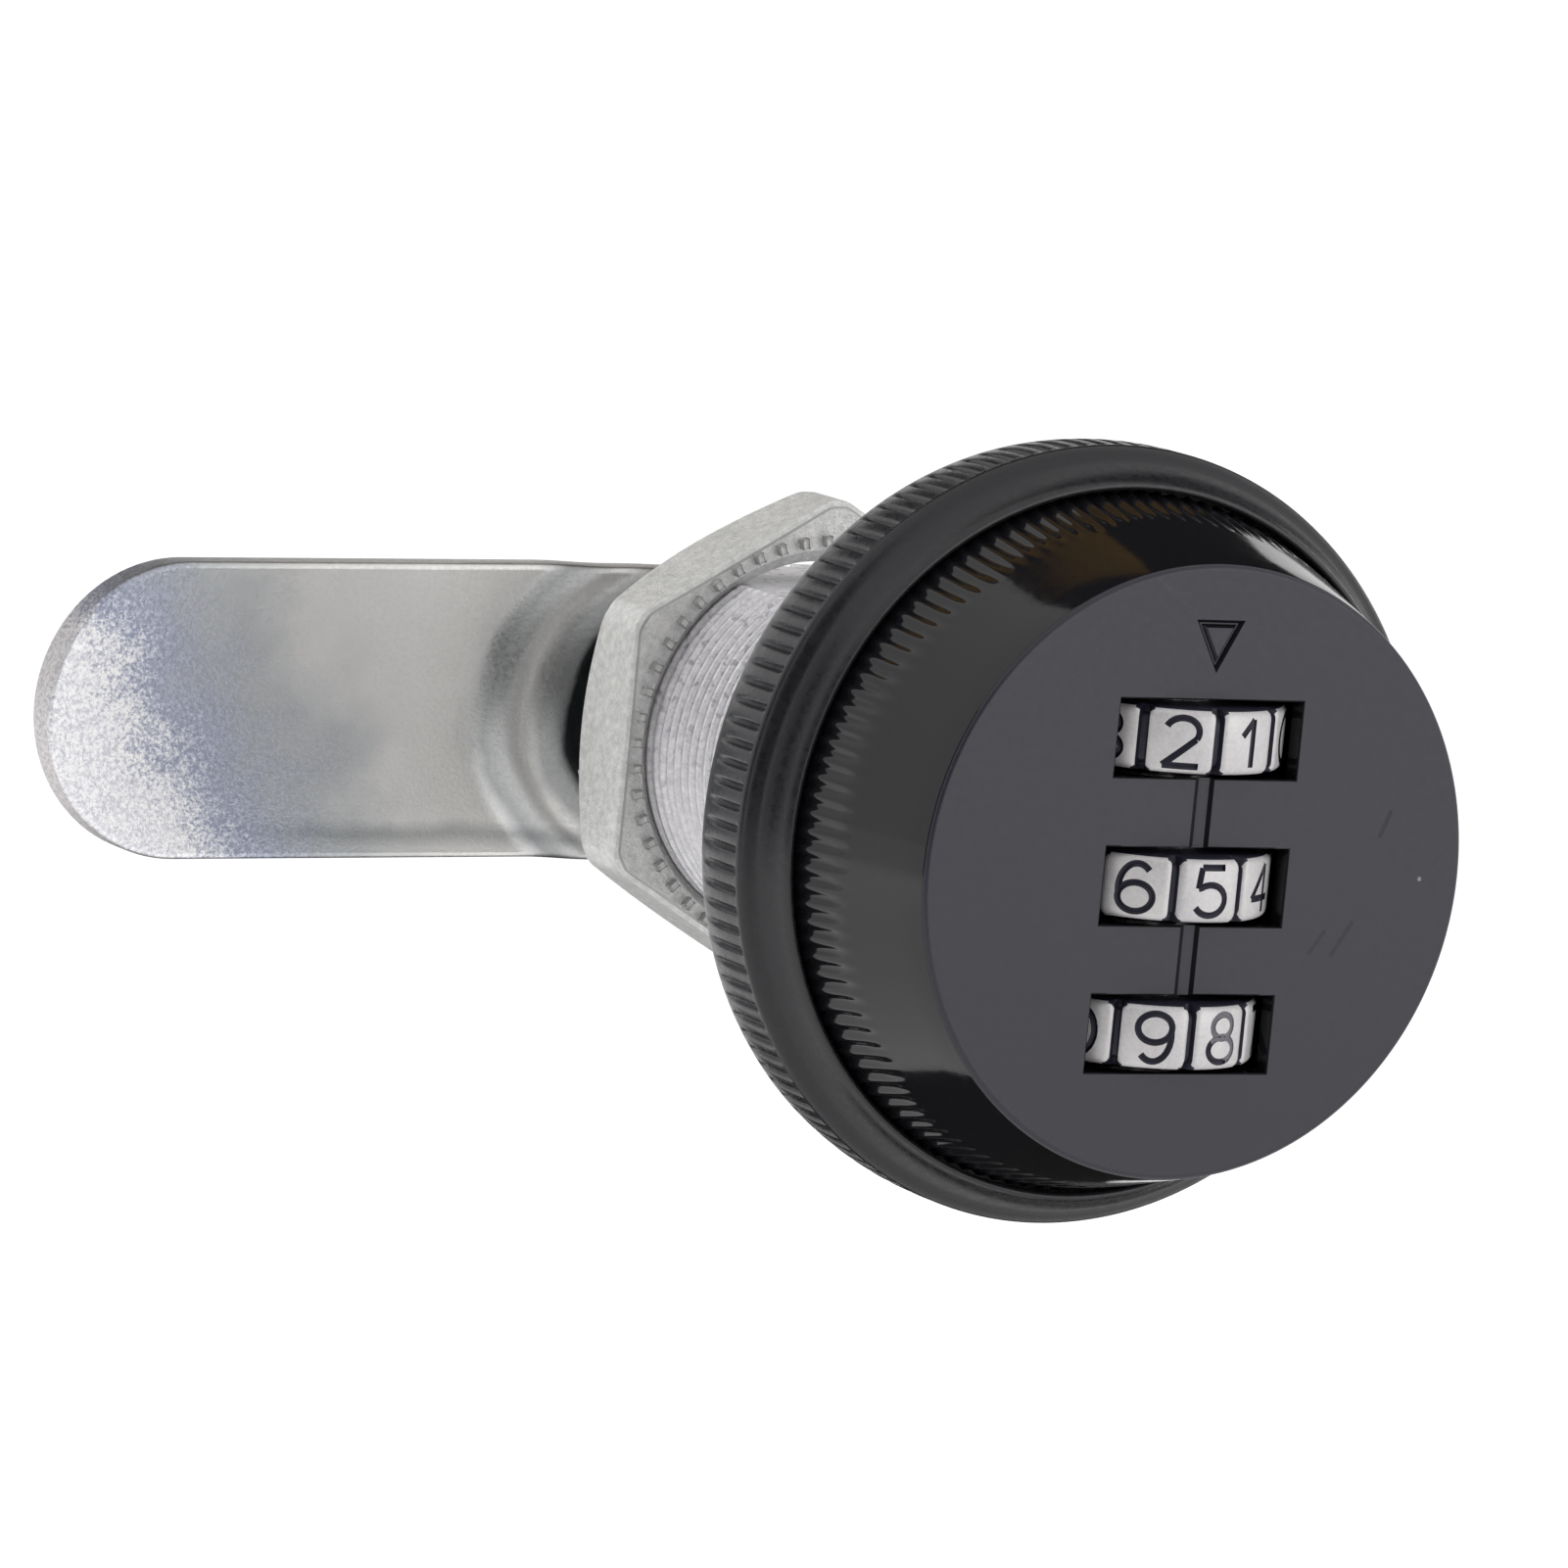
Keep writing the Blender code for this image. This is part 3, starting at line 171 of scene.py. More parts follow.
def makeScratchMark():
    # A fine line or, where both ends are the same, a speck
    group, given, result = newGroup(
        "scratchMark", {"Start": (0, 0, 0), "End": (0, 0, 0), "Width": 0.0001}, ("Mask",))
    place = addNode(group, "ShaderNodeTexCoord").outputs["Object"]
    along = vectorNode(group, "SUBTRACT", given["End"], given["Start"])
    offset = vectorNode(group, "SUBTRACT", place, given["Start"])
    square = mathNode(group, "MAXIMUM", vectorNode(group, "DOT_PRODUCT", along, along), 1e-12)
    share = mathNode(group, "DIVIDE", vectorNode(group, "DOT_PRODUCT", offset, along), square, clamp=True)
    away = vectorNode(group, "SUBTRACT", offset, vectorNode(group, "SCALE", along, share))
    near = mathNode(group, "DIVIDE", vectorNode(group, "LENGTH", away), given["Width"])
    link(group, rangeNode(group, near, 0.4, 1.0, 1.0, 0.0), result["Mask"])
    return group


def makeMouldedSkin():
    # The faint orange peel and dust of a moulded or painted black part
    group, given, result = newGroup(
        "mouldedSkin", {"Peel Scale": 2500.0, "Dust Scale": 3500.0}, ("Peel", "Dust"))
    place = addNode(group, "ShaderNodeTexCoord").outputs["Object"]
    peel = noiseNode(group, place, given["Peel Scale"], 2.0, 0.5)
    dust = noiseNode(group, place, given["Dust Scale"], 4.0, 0.8)
    link(group, peel, result["Peel"])
    link(group, rangeNode(group, dust, 0.62, 0.75), result["Dust"])
    return group


castGrain = makeCastGrain()
mouldedSkin = makeMouldedSkin()
scratchMark = makeScratchMark()


def newMaterial(name):
    made = bpy.data.materials.new(name)
    made.use_nodes = True
    return made, made.node_tree, made.node_tree.nodes["Principled BSDF"]


def bumpNode(tree, shader, height, distance):
    node = addNode(tree, "ShaderNodeBump")
    setInputs(node, {"Distance": distance, "Strength": 1.0})
    link(tree, height, node.inputs["Height"])
    link(tree, node.outputs["Normal"], shader.inputs["Normal"])


scratchDepth = 4.0  # against the height of the skin's peel


def blackFinish(name, color, dustColor, roughness, roughSpread, dustShare, peelHeight, specular=0.42,
                marks=()):
    # marks: (start, end, width, colour) in millimetres of the piece
    made, tree, shader = newMaterial(name)
    skin = addNode(tree, "ShaderNodeGroup", node_tree=mouldedSkin)
    tint = mixColor(tree, times(tree, skin.outputs["Dust"], dustShare), color, dustColor)
    height = skin.outputs["Peel"]
    for start, end, width, markColor in marks:
        mark = addNode(tree, "ShaderNodeGroup", node_tree=scratchMark)
        setInputs(mark, {"Start": Vector(start) * mm, "End": Vector(end) * mm, "Width": width * mm})
        tint = mixColor(tree, mark.outputs["Mask"], tint, markColor)
        height = mathNode(tree, "SUBTRACT", height, times(tree, mark.outputs["Mask"], scratchDepth))
    link(tree, tint, shader.inputs["Base Color"])
    low, high = roughness - roughSpread, roughness + roughSpread
    link(tree, rangeNode(tree, skin.outputs["Peel"], 0.35, 0.65, low, high), shader.inputs["Roughness"])
    bumpNode(tree, shader, height, peelHeight)
    setInputs(shader, {"IOR": 1.5, "Specular IOR Level": specular})
    return made


def grainNode(tree, speckleScale, cloudScale):
    grain = addNode(tree, "ShaderNodeGroup", node_tree=castGrain)
    setInputs(grain, {"Speckle Scale": speckleScale, "Cloud Scale": cloudScale})
    return grain.outputs["Speckle"], grain.outputs["Cloud"]


def metalFinish(name, dark, light, roughLow, roughHigh, grainHeight, speckleScale, cloudScale, metallic=1.0):
    made, tree, shader = newMaterial(name)
    speckle, cloud = grainNode(tree, speckleScale, cloudScale)
    blend = plus(tree, times(tree, speckle, 0.45), times(tree, cloud, 0.55))
    link(tree, mixColor(tree, blend, dark, light), shader.inputs["Base Color"])
    link(tree, rangeNode(tree, speckle, 0, 1, roughLow, roughHigh), shader.inputs["Roughness"])
    bumpNode(tree, shader, speckle, grainHeight)
    shader.inputs["Metallic"].default_value = metallic
    return made


def rampNode(tree, value, stops):
    node = addNode(tree, "ShaderNodeValToRGB")
    link(tree, value, node.inputs["Fac"])
    ramp = node.color_ramp
    while len(ramp.elements) < len(stops):
        ramp.elements.new(0.5)
    for element, (position, color) in zip(ramp.elements, stops):
        element.position = position
        element.color = (*color, 1)
    return node.outputs["Color"]


faceMarks = (
    ((10.55, 3.1, 14.78), (10.1, 1.95, 14.78), 0.13, (0.006, 0.006, 0.008)),
    ((9.0, -2.3, 14.78), (8.0, -3.9, 14.78), 0.12, (0.011, 0.011, 0.014)),
    ((7.5, -2.75, 14.78), (6.75, -3.8, 14.78), 0.12, (0.011, 0.011, 0.014)),
    ((12.6, -0.1, 14.78), (12.6, -0.1, 14.78), 0.14, (0.32, 0.32, 0.33)),
)
bezelMarks = (((-17.85, 3.5, 5.5), (-17.85, 3.56, 5.5), 0.2, (0.24, 0.24, 0.25)),)
knobFace = blackFinish("knobFace", (0.0255, 0.0235, 0.0355), (0.06, 0.06, 0.07), 0.36, 0.03, 0.2, 0.004 * mm,
                       marks=faceMarks)
knobSide = blackFinish("knobSide", (0.010, 0.010, 0.012), (0.05, 0.05, 0.05), 0.09, 0.02, 0.25,
                       0.0015 * mm, 0.36)
bezelBlack = blackFinish("bezelBlack", (0.014, 0.014, 0.017), (0.06, 0.06, 0.06), 0.3, 0.05, 0.35,
                         0.006 * mm, marks=bezelMarks)
# painted shade for the walls of the index channels and of the mark
paintedIndexShade = blackFinish("paintedIndexShade", (0.006, 0.006, 0.008), (0.05, 0.05, 0.05), 0.5, 0.02, 0.2,
                         0.0015 * mm, 0.12)
# painted shade: a duller finish for the bottoms of the bezel's finger grooves
paintedGrooveShade = blackFinish("paintedGrooveShade", (0.018, 0.018, 0.021), (0.05, 0.05, 0.05), 0.45, 0.05, 0.3,
                          0.006 * mm, 0.34)
carrierBlack = blackFinish("carrierBlack", (0.02, 0.02, 0.022), (0.06, 0.06, 0.06), 0.45, 0.05, 0.4,
                           0.01 * mm)
# ink of the digits and of the grooves, and painted shade on the wheels' flanks
wheelInkAndShade = blackFinish("wheelInkAndShade", (0.014, 0.013, 0.028), (0.08, 0.08, 0.1), 0.5, 0.05, 0.4, 0.01 * mm)
fadedInk = blackFinish("fadedInk", (0.24, 0.23, 0.26), (0.55, 0.53, 0.55), 0.5, 0.05, 0.9, 0.01 * mm)
castZinc = metalFinish("castZinc", (0.62, 0.6, 0.64), (1, 0.99, 1), 0.3, 0.5, 0.018 * mm, 7000, 2600, 0.4)
nutZinc = metalFinish("nutZinc", (0.6, 0.6, 0.59), (0.94, 0.94, 0.92), 0.38, 0.55, 0.03 * mm, 6500, 2200, 0.4)
# painted shade for the nut's parting line and the sides of its teeth
nutPaintedShade = metalFinish("nutPaintedShade", (0.36, 0.36, 0.36), (0.5, 0.5, 0.49), 0.5, 0.6, 0.01 * mm, 6500, 700, 0.5)
zincPlate = metalFinish("zincPlate", (0.5, 0.52, 0.53), (0.74, 0.75, 0.75), 0.3, 0.45, 0.006 * mm, 4200, 250)
springWire = metalFinish("springWire", (0.34, 0.34, 0.35), (0.52, 0.52, 0.54), 0.22, 0.34, 0.003 * mm,
                         6000, 500)
wheelSilver = metalFinish("wheelSilver", (0.6, 0.58, 0.6), (0.82, 0.8, 0.79), 0.35, 0.5, 0.004 * mm,
                          5000, 400, 0.2)
print("materials made")

# Shape tools

def addObject(name, data):
    made = bpy.data.objects.new(name, data)
    bpy.context.scene.collection.objects.link(made)
    return made


def placeMesh(name, mesh, turn=noseUp, location=(0, 0, 0)):
    piece = addObject(name, mesh)
    piece.rotation_euler = (turn, 0, 0)
    piece.location = location
    return piece


def dress(mesh, *finishes):
    mesh.materials.clear()
    for finish in finishes:
        mesh.materials.append(finish)


def meshFrom(name, bm):
    bmesh.ops.recalc_face_normals(bm, faces=bm.faces)
    mesh = bpy.data.meshes.new(name)
    bm.to_mesh(mesh)
    bm.free()
    return mesh


def ringPoints(count, welded=False):
    return [(fullTurn * i / count,) for i in range(count + 1 if welded else count)]


def loft(bm, angles, profileAt, ring=True, welded=False):
    # One outline of (radius, height) points for each angle, joined to its neighbours;
    # welded: the last angle repeats the first one, which lets a thread climb by a turn
    columns = []
    for angle, *share in angles:
        outline = profileAt(angle, *share)
        columns.append([bm.verts.new((r * math.cos(angle), r * math.sin(angle), h)) for r, h in outline])
    for i, column in enumerate(columns[:-1] if welded else columns):
        following = columns[(i + 1) % len(columns)]
        steps = len(column) if ring else len(column) - 1
        for j in range(steps):
            k = (j + 1) % len(column)
            bm.faces.new((column[j], following[j], following[k], column[k]))
    if not ring:
        bm.faces.new([column[0] for column in columns])
        bm.faces.new([column[-1] for column in reversed(columns)])
    if welded:
        bmesh.ops.remove_doubles(bm, verts=bm.verts, dist=0.0005 * mm)
        bmesh.ops.dissolve_degenerate(bm, edges=bm.edges, dist=0.0005 * mm)
    return bm


def arcStroke(cx, cy, rx, ry, start, end, steps=18):
    # Points along an arc, angles in degrees
    points = []
    for i in range(steps + 1):
        angle = math.radians(start + (end - start) * i / steps)
        points.append((cx + rx * math.cos(angle), cy + ry * math.sin(angle)))
    return points


def roundCorner(corner, radius, start, end, steps):
    return arcStroke(*corner, radius, radius, start, end, steps)


def addBox(bm, low, high):
    low, high = Vector(low), Vector(high)
    spot = Matrix.Translation((low + high) / 2) @ Matrix.Diagonal((*(high - low), 1))
    return bmesh.ops.create_cube(bm, size=1, matrix=spot)["verts"]


def addRod(bm, radius, low, high, segments, at=(0, 0)):
    spot = Matrix.Translation((*at, (low + high) / 2))
    bmesh.ops.create_cone(bm, cap_ends=True, segments=segments, radius1=radius, radius2=radius,
                          depth=high - low, matrix=spot)


def prismTool(name, outlines):
    # Closed outlines with as many points each, joined one to the next and capped at both ends
    bm = bmesh.new()
    rings = [[bm.verts.new(spot) for spot in outline] for outline in outlines]
    for ring, following in zip(rings, rings[1:]):
        for j, vert in enumerate(ring):
            k = (j + 1) % len(ring)
            bm.faces.new((vert, ring[k], following[k], following[j]))
    bm.faces.new(list(reversed(rings[0])))
    bm.faces.new(rings[-1])
    return placeMesh(name, meshFrom(name, bm))


def addModifier(piece, tool, operation, selfCross=False):
    modifier = piece.modifiers.new(operation.lower(), "BOOLEAN")
    modifier.operation = operation
    modifier.solver = "EXACT"
    modifier.use_self = selfCross
    modifier.material_mode = "TRANSFER"
    modifier.object = tool


def finalMesh(piece):
    # The mesh of a curve, or of a piece after its modifiers
    bpy.context.view_layer.update()
    return bpy.data.meshes.new_from_object(piece.evaluated_get(bpy.context.evaluated_depsgraph_get()))


def bake(piece, tools=()):
    piece.data = finalMesh(piece)
    piece.modifiers.clear()
    for tool in tools:
        bpy.data.objects.remove(tool, do_unlink=True)


def softenEdges(piece, width, wanted):
    # Rounds the edges that wanted(edge) picks
    bm = bmesh.new()
    bm.from_mesh(piece.data)
    picked = [edge for edge in bm.edges if len(edge.link_faces) == 2 and wanted(edge)]
    bmesh.ops.bevel(bm, geom=picked, offset=width, segments=2, profile=0.5, affect="EDGES",
                    clamp_overlap=True)
    bm.to_mesh(piece.data)
    bm.free()


def finishPiece(piece, body, finish, replaced, smooth):
    # finish is None where the faces have their materials already
    if finish is not None:
        dress(piece.data, finish)
    piece.data.shade_smooth()
    piece.data.set_sharp_from_angle(angle=math.radians(smooth))
    piece.modifiers.new("flatFirst", "WEIGHTED_NORMAL").keep_sharp = True
    bake(piece)
    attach(piece, body)
    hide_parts(replaced)
    print(piece.name, len(piece.data.polygons))


def newCurve(name, dimensions, wire, resolution):
    curve = bpy.data.curves.new(name, "CURVE")
    curve.dimensions = dimensions
    curve.bevel_depth = wire
    curve.bevel_resolution = resolution
    return curve


def addSpline(curve, spots, closed):
    spline = curve.splines.new("POLY")
    spline.points.add(len(spots) - 1)
    for point, spot in zip(spline.points, spots):
        point.co = (*spot, 1)
    spline.use_cyclic_u = closed


def weldedCurve(name, curve):
    # The curve's faces in a new bmesh, joined where they meet
    holder = addObject(name, curve)
    mesh = finalMesh(holder)
    bpy.data.objects.remove(holder, do_unlink=True)
    bm = bmesh.new()
    bm.from_mesh(mesh)
    bmesh.ops.remove_doubles(bm, verts=bm.verts, dist=0.001 * mm)
    return bm


def wireMesh(name, pointLists, wire, closed=(), resolution=2):
    # Round wires along lists of points, as one mesh
    curve = newCurve(name, "3D", wire, resolution)
    curve.use_fill_caps = True
    for i, points in enumerate(pointLists):
        addSpline(curve, points, i in closed)
    return meshFrom(name, weldedCurve(name, curve))


# Knob

knob = {
    "faceHeight": 14.78 * mm,
    "faceRadius": 14.872 * mm,
    "faceEdge": 0.3 * mm,
    "ribFront": 10.0 * mm,
    "ribRear": 5.6 * mm,
    "ribFrontCrest": 16.086 * mm,
    "ribRearCrest": 17.094 * mm,
    "ribCount": 120,
    "ribDepth": 0.16 * mm,
    "ribSteps": ((0.0, 0.0), (0.1, 0.12), (0.2, 0.4), (0.3, 0.72), (0.4, 0.94), (0.5, 1.0), (0.6, 0.94),
                 (0.7, 0.72), (0.8, 0.4), (0.9, 0.12)),
    "ribStep": 0.05 * mm,  # crest over the smooth front
    "ribRunOut": 2.3 * mm,  # length over which the grooves end toward the face
    "skirtRear": 3.5 * mm,
    "skirtStep": 0.36 * mm,  # under the crests of the ribs
    "wall": 1.4 * mm,
    "roof": 1.65 * mm,
    "windowWidth": 10.1 * mm,
    "windowHeight": 3.75 * mm,
    "windowRound": 0.09 * mm,
    "indexWidth": 1.06 * mm,
    "indexDepth": 0.2 * mm,
    "indexSlopes": (0.3 * mm, 0.15 * mm),
    "markWidth": 2.7 * mm,
    "markHeight": 2.55 * mm,
    "markStroke": 0.38 * mm,
    "markDepth": 0.2 * mm,
    "markOverWindow": 1.3 * mm,
    "screwSpread": 11.2 * mm,
    "screwPost": (2.0 * mm, 4.1 * mm, 0.3 * mm),  # radius, rear end and depth into the roof
    "wheelRoom": 6.3 * mm,
    "keyRoom": (3.6 * mm, 1.8 * mm, 3.2 * mm),  # radius and ends of the room for a wheel's key
}
wheelRows = [6.46 * mm, -0.64 * mm, -7.74 * mm]
axleHeight = 10.1 * mm


def ribColumns(count, steps):
    # Angles of one rib's columns and their share of the rib's height, repeated round the ring
    columns = []
    for i in range(count):
        columns += [(fullTurn * (i + phase) / count, share) for phase, share in steps]
    return columns


def knobProfile(angle, rib):
    v = knob
    smoothRear = v["ribFrontCrest"] - v["ribStep"]
    front, rear = v["ribFront"], v["ribRear"]
    lift, edge = v["ribStep"], v["faceEdge"]
    outline = roundCorner((v["faceRadius"] - edge, v["faceHeight"] - edge), edge, 90, 10, 4)
    for share in (0.33, 0.66):
        height = v["faceHeight"] - edge + (front - v["faceHeight"] + edge) * share
        outline.append((v["faceRadius"] + (smoothRear - v["faceRadius"]) * share, height))
    for share in (0.0, 0.04, 0.1, 0.17, 0.24, 0.31, 0.4, 0.7, 1.0):
        height = front + (rear - front) * share
        crest = v["ribFrontCrest"] + (v["ribRearCrest"] - v["ribFrontCrest"]) * share
        rise = min((front - height) / (v["ribRunOut"] * 0.4), 1)
        deep = min((front - height) / v["ribRunOut"], 1)
        deep *= deep * (3 - 2 * deep)
        outline.append((crest - lift * (1 - rise) - v["ribDepth"] * (1 - rib) * deep, height))
    skirt = v["ribRearCrest"] - v["skirtStep"]
    outline += [
        (skirt, rear - 0.1 * mm),
        (skirt, v["skirtRear"]),
        (skirt - v["wall"], v["skirtRear"]),
        (skirt - v["wall"], rear),
        (v["faceRadius"] + 0.3 * mm - v["wall"], v["faceHeight"] - v["roof"]),
    ]
    return outline


def makeKnobShell():
    v = knob
    bm = loft(bmesh.new(), ribColumns(v["ribCount"], v["ribSteps"]), knobProfile, ring=False)
    shell = placeMesh("knobShell", meshFrom("knobShell", bm))
    dress(shell.data, knobSide)
    tools = []
    top = v["faceHeight"] + mm
    roofRear = v["faceHeight"] - v["roof"] - mm
    half, tall = v["windowWidth"] / 2, v["windowHeight"] / 2
    for i, row in enumerate(wheelRows):
        bm = bmesh.new()
        addBox(bm, (-half, row - tall, roofRear), (half, row + tall, top))
        tools.append(placeMesh(f"window{i}", meshFrom(f"window{i}", bm)))
        bm = bmesh.new()
        addRod(bm, v["wheelRoom"], -tall, tall, 64)
        addRod(bm, *v["keyRoom"], 48)
        tools.append(placeMesh(f"wheelRoom{i}", meshFrom(f"wheelRoom{i}", bm), 0, (0, -axleHeight, row)))
    tools += [indexTool(0), indexTool(1), markTool()]
    for tool in tools:
        addModifier(shell, tool, "DIFFERENCE", selfCross=tool.name.startswith("wheelRoom"))
    bake(shell, tools)

    def onFace(edge):
        if min(edge.verts[0].co.z, edge.verts[1].co.z) < v["faceHeight"] - 0.001 * mm:
            return False
        if max(vert.co.xy.length for vert in edge.verts) > v["faceRadius"] - mm:
            return False
        return edge.calc_face_angle() > math.radians(60)

    softenEdges(shell, v["windowRound"], onFace)
    bm = bmesh.new()
    bm.from_mesh(shell.data)
    postRadius, postRear, postSunk = v["screwPost"]
    for side in (-1, 1):
        addRod(bm, postRadius, postRear, v["faceHeight"] - v["roof"] + postSunk, 32,
               (side * v["screwSpread"], wheelRows[1]))
    bm.to_mesh(shell.data)
    bm.free()
    dress(shell.data, knobSide, knobFace, paintedIndexShade)
    # The walls of the index channels and of the mark get a darker finish as painted shade
    for face in shell.data.polygons:
        depth = v["faceHeight"] - face.center.z
        inner = face.center.xy.length < 13 * mm
        level = face.normal.z > (0.95 if depth > 0.01 * mm and inner else 0.5)
        lit = face.normal.x < -0.2 and face.normal.y < -0.05  # the mark's left stroke keeps the face's lighter finish, as painted light where it catches the light
        if depth < v["indexDepth"] + 0.02 * mm and (level or inner and lit):
            face.material_index = 1
        elif depth < v["indexDepth"] and inner:
            face.material_index = 2
    finishPiece(shell, "knob", None, "knob_shell", 35)


def indexTool(i):
    # A shallow channel with sloped sides between two windows
    v = knob
    half, depth = v["indexWidth"] / 2, v["indexDepth"]
    left, right = v["indexSlopes"]
    outline = [(-half + left, -depth), (half - right, -depth), (half, 0), (half, mm), (-half, mm), (-half, 0)]
    rows = wheelRows[i + 1], wheelRows[i]
    return prismTool(f"index{i}", [[(x, y, v["faceHeight"] + z) for x, z in outline] for y in rows])


def markTool():
    # The outlined triangle is cut with a pointed engraver
    v = knob
    apex = wheelRows[0] + v["windowHeight"] / 2 + v["markOverWindow"]
    half, tall, stroke = v["markWidth"] / 2, v["markHeight"], v["markStroke"]
    inset = half * tall / (half + math.hypot(half, tall))
    centre = Vector((0, apex + tall - inset))
    corners = [Vector((-half, apex + tall)), Vector((0, apex)), Vector((half, apex + tall))]
    bm = bmesh.new()
    rings = []
    for outward in (1, -1):
        levels = []
        for z, width in ((-v["markDepth"], 0.03 * mm), (0, stroke / 2), (mm, stroke / 2)):
            scale = (inset - stroke / 2 + outward * width) / inset
            spots = [centre + (corner - centre) * scale for corner in corners]
            levels.append([bm.verts.new((spot.x, spot.y, v["faceHeight"] + z)) for spot in spots])
        rings.append(levels)
    outer, inner = rings
    for i in range(3):
        k = (i + 1) % 3
        for j in range(2):
            bm.faces.new((outer[j][i], outer[j][k], outer[j + 1][k], outer[j + 1][i]))
            bm.faces.new((inner[j][i], inner[j + 1][i], inner[j + 1][k], inner[j][k]))
        bm.faces.new((outer[2][i], outer[2][k], inner[2][k], inner[2][i]))
        bm.faces.new((outer[0][k], outer[0][i], inner[0][i], inner[0][k]))
    return placeMesh("mark", meshFrom("mark", bm))


makeKnobShell()

# Bezel

bezel = {
    "radius": 19.044 * mm,
    "rearRadius": 18.76 * mm,
    "bore": 17.344 * mm,
    "height": 5.8 * mm,
    "land": 4.32 * mm,
    "slopeFoot": (18.41 * mm, 4.72 * mm),
    "slopeTop": (17.56 * mm, 6.26 * mm),
    "hollow": 0.1 * mm,
    "lipRound": (17.35 * mm, 6.24 * mm, 0.21 * mm),  # centre and radius of the rounded lip
    "ribCount": 120,
    "ribDepth": 0.24 * mm,
    "ribSteps": ((0.0, 0.0), (0.08, 0.14), (0.14, 0.5), (0.2, 0.86), (0.28, 1.0), (0.72, 1.0), (0.8, 0.86),
                 (0.86, 0.5), (0.92, 0.14)),
    "grooveLevels": ((0.6, 0.0), (1.0, 0.3), (1.5, 0.65), (2.1, 0.9), (3.0, 1.0), (3.8, 1.0), (3.98, 0.7),
                     (4.06, 0.0)),  # height in millimetres and share of the ribs' depth
    "lipRear": 2.3 * mm,
    "lipFront": 3.2 * mm,
    "lipRadius": 13.992 * mm,
    "rearBore": 15.392 * mm,
}


def bezelProfile(angle, rib):
    v = bezel
    outline = [
        (v["rearBore"], 0),
        (v["rearRadius"] - 0.3 * mm, 0),
        (v["rearRadius"] - 0.08 * mm, 0.09 * mm),
        (v["rearRadius"], 0.32 * mm),
    ]
    for height, depth in v["grooveLevels"]:
        taper = max(1 - (height - 0.32) / 2.6, 0)
        side = v["radius"] - (v["radius"] - v["rearRadius"]) * taper * taper
        outline.append((side - v["ribDepth"] * (1 - rib) * depth, height * mm))
    foot, top = Vector(v["slopeFoot"]), Vector(v["slopeTop"])
    outline += [
        (v["radius"], v["land"] - 0.14 * mm),
        (v["radius"] - 0.04 * mm, v["land"]),
        (v["radius"] - 0.17 * mm, v["land"] + 0.16 * mm),
        (foot.x + 0.26 * mm, foot.y - 0.1 * mm),
    ]
    for i in range(7):  # hollow slope up to the rounded lip
        share = i / 6
        sink = v["hollow"] * math.sin(math.pi * share)
        spot = foot.lerp(top, share)
        outline.append((spot.x - sink * 0.88, spot.y - sink * 0.47))
    x, y, radius = v["lipRound"]
    outline += roundCorner((x, y), radius, 62, 186, 5)
    outline += [
        (v["bore"] - 0.1 * mm, v["height"]),
        (v["bore"], v["height"] - 0.5 * mm),
        (v["bore"], v["lipFront"]),
        (v["lipRadius"], v["lipFront"]),
        (v["lipRadius"], v["lipRear"]),
        (v["rearBore"], v["lipRear"]),
    ]
    return outline


def makeBezel():
    v = bezel
    bm = loft(bmesh.new(), ribColumns(v["ribCount"], v["ribSteps"]), bezelProfile)
    ring = placeMesh("bezelRing", meshFrom("bezelRing", bm))
    dress(ring.data, bezelBlack, paintedGrooveShade)
    for face in ring.data.polygons:  # the bottoms of the finger grooves get a duller finish as painted shade
        reach, height = face.center.xy.length, face.center.z
        if 1.3 * mm < height < 4.0 * mm and v["radius"] - 0.5 * mm < reach < v["radius"] - 0.14 * mm:
            face.material_index = 1
    finishPiece(ring, "housing", None, "bezel_ring", 40)


makeBezel()

# Barrel

barrel = {
    "threadRadius": 9.5 * mm,
    "threadDepth": 0.36 * mm,
    "threadPitch": 0.75 * mm,
    "threadRows": ((0.0, 0.0), (0.12, 0.0), (0.44, 1.0), (0.68, 1.0)),  # shares of a turn and of the depth
    "flat": 8.0 * mm,
    "length": 30.75 * mm,
    "flangeRadius": 15.092 * mm,
    "flangeHeight": 2.0 * mm,
    "bore": 5.25 * mm,
    "headRoom": 6.3 * mm,
    "headFloor": 0.4 * mm,
    "rearBore": 7.1 * mm,
    "rearBoreDepth": 3.85 * mm,
    "chamfer": 0.6 * mm,
    "stopRim": 0.95 * mm,
    "columns": 288,
    "flangeEdge": 0.25 * mm,
    "stopTabWidth": 3.6 * mm,
}
boltNose = {
    "spot": (5.2 * mm, -10.74 * mm),
    "lift": 0.8 * mm,  # over a quarter turn of the knob
    "grooveHalf": 1.15 * mm,
    "grooveEnd": 1.2 * mm,  # room past the nose at both ends
    "floor": 1.05 * mm,
}


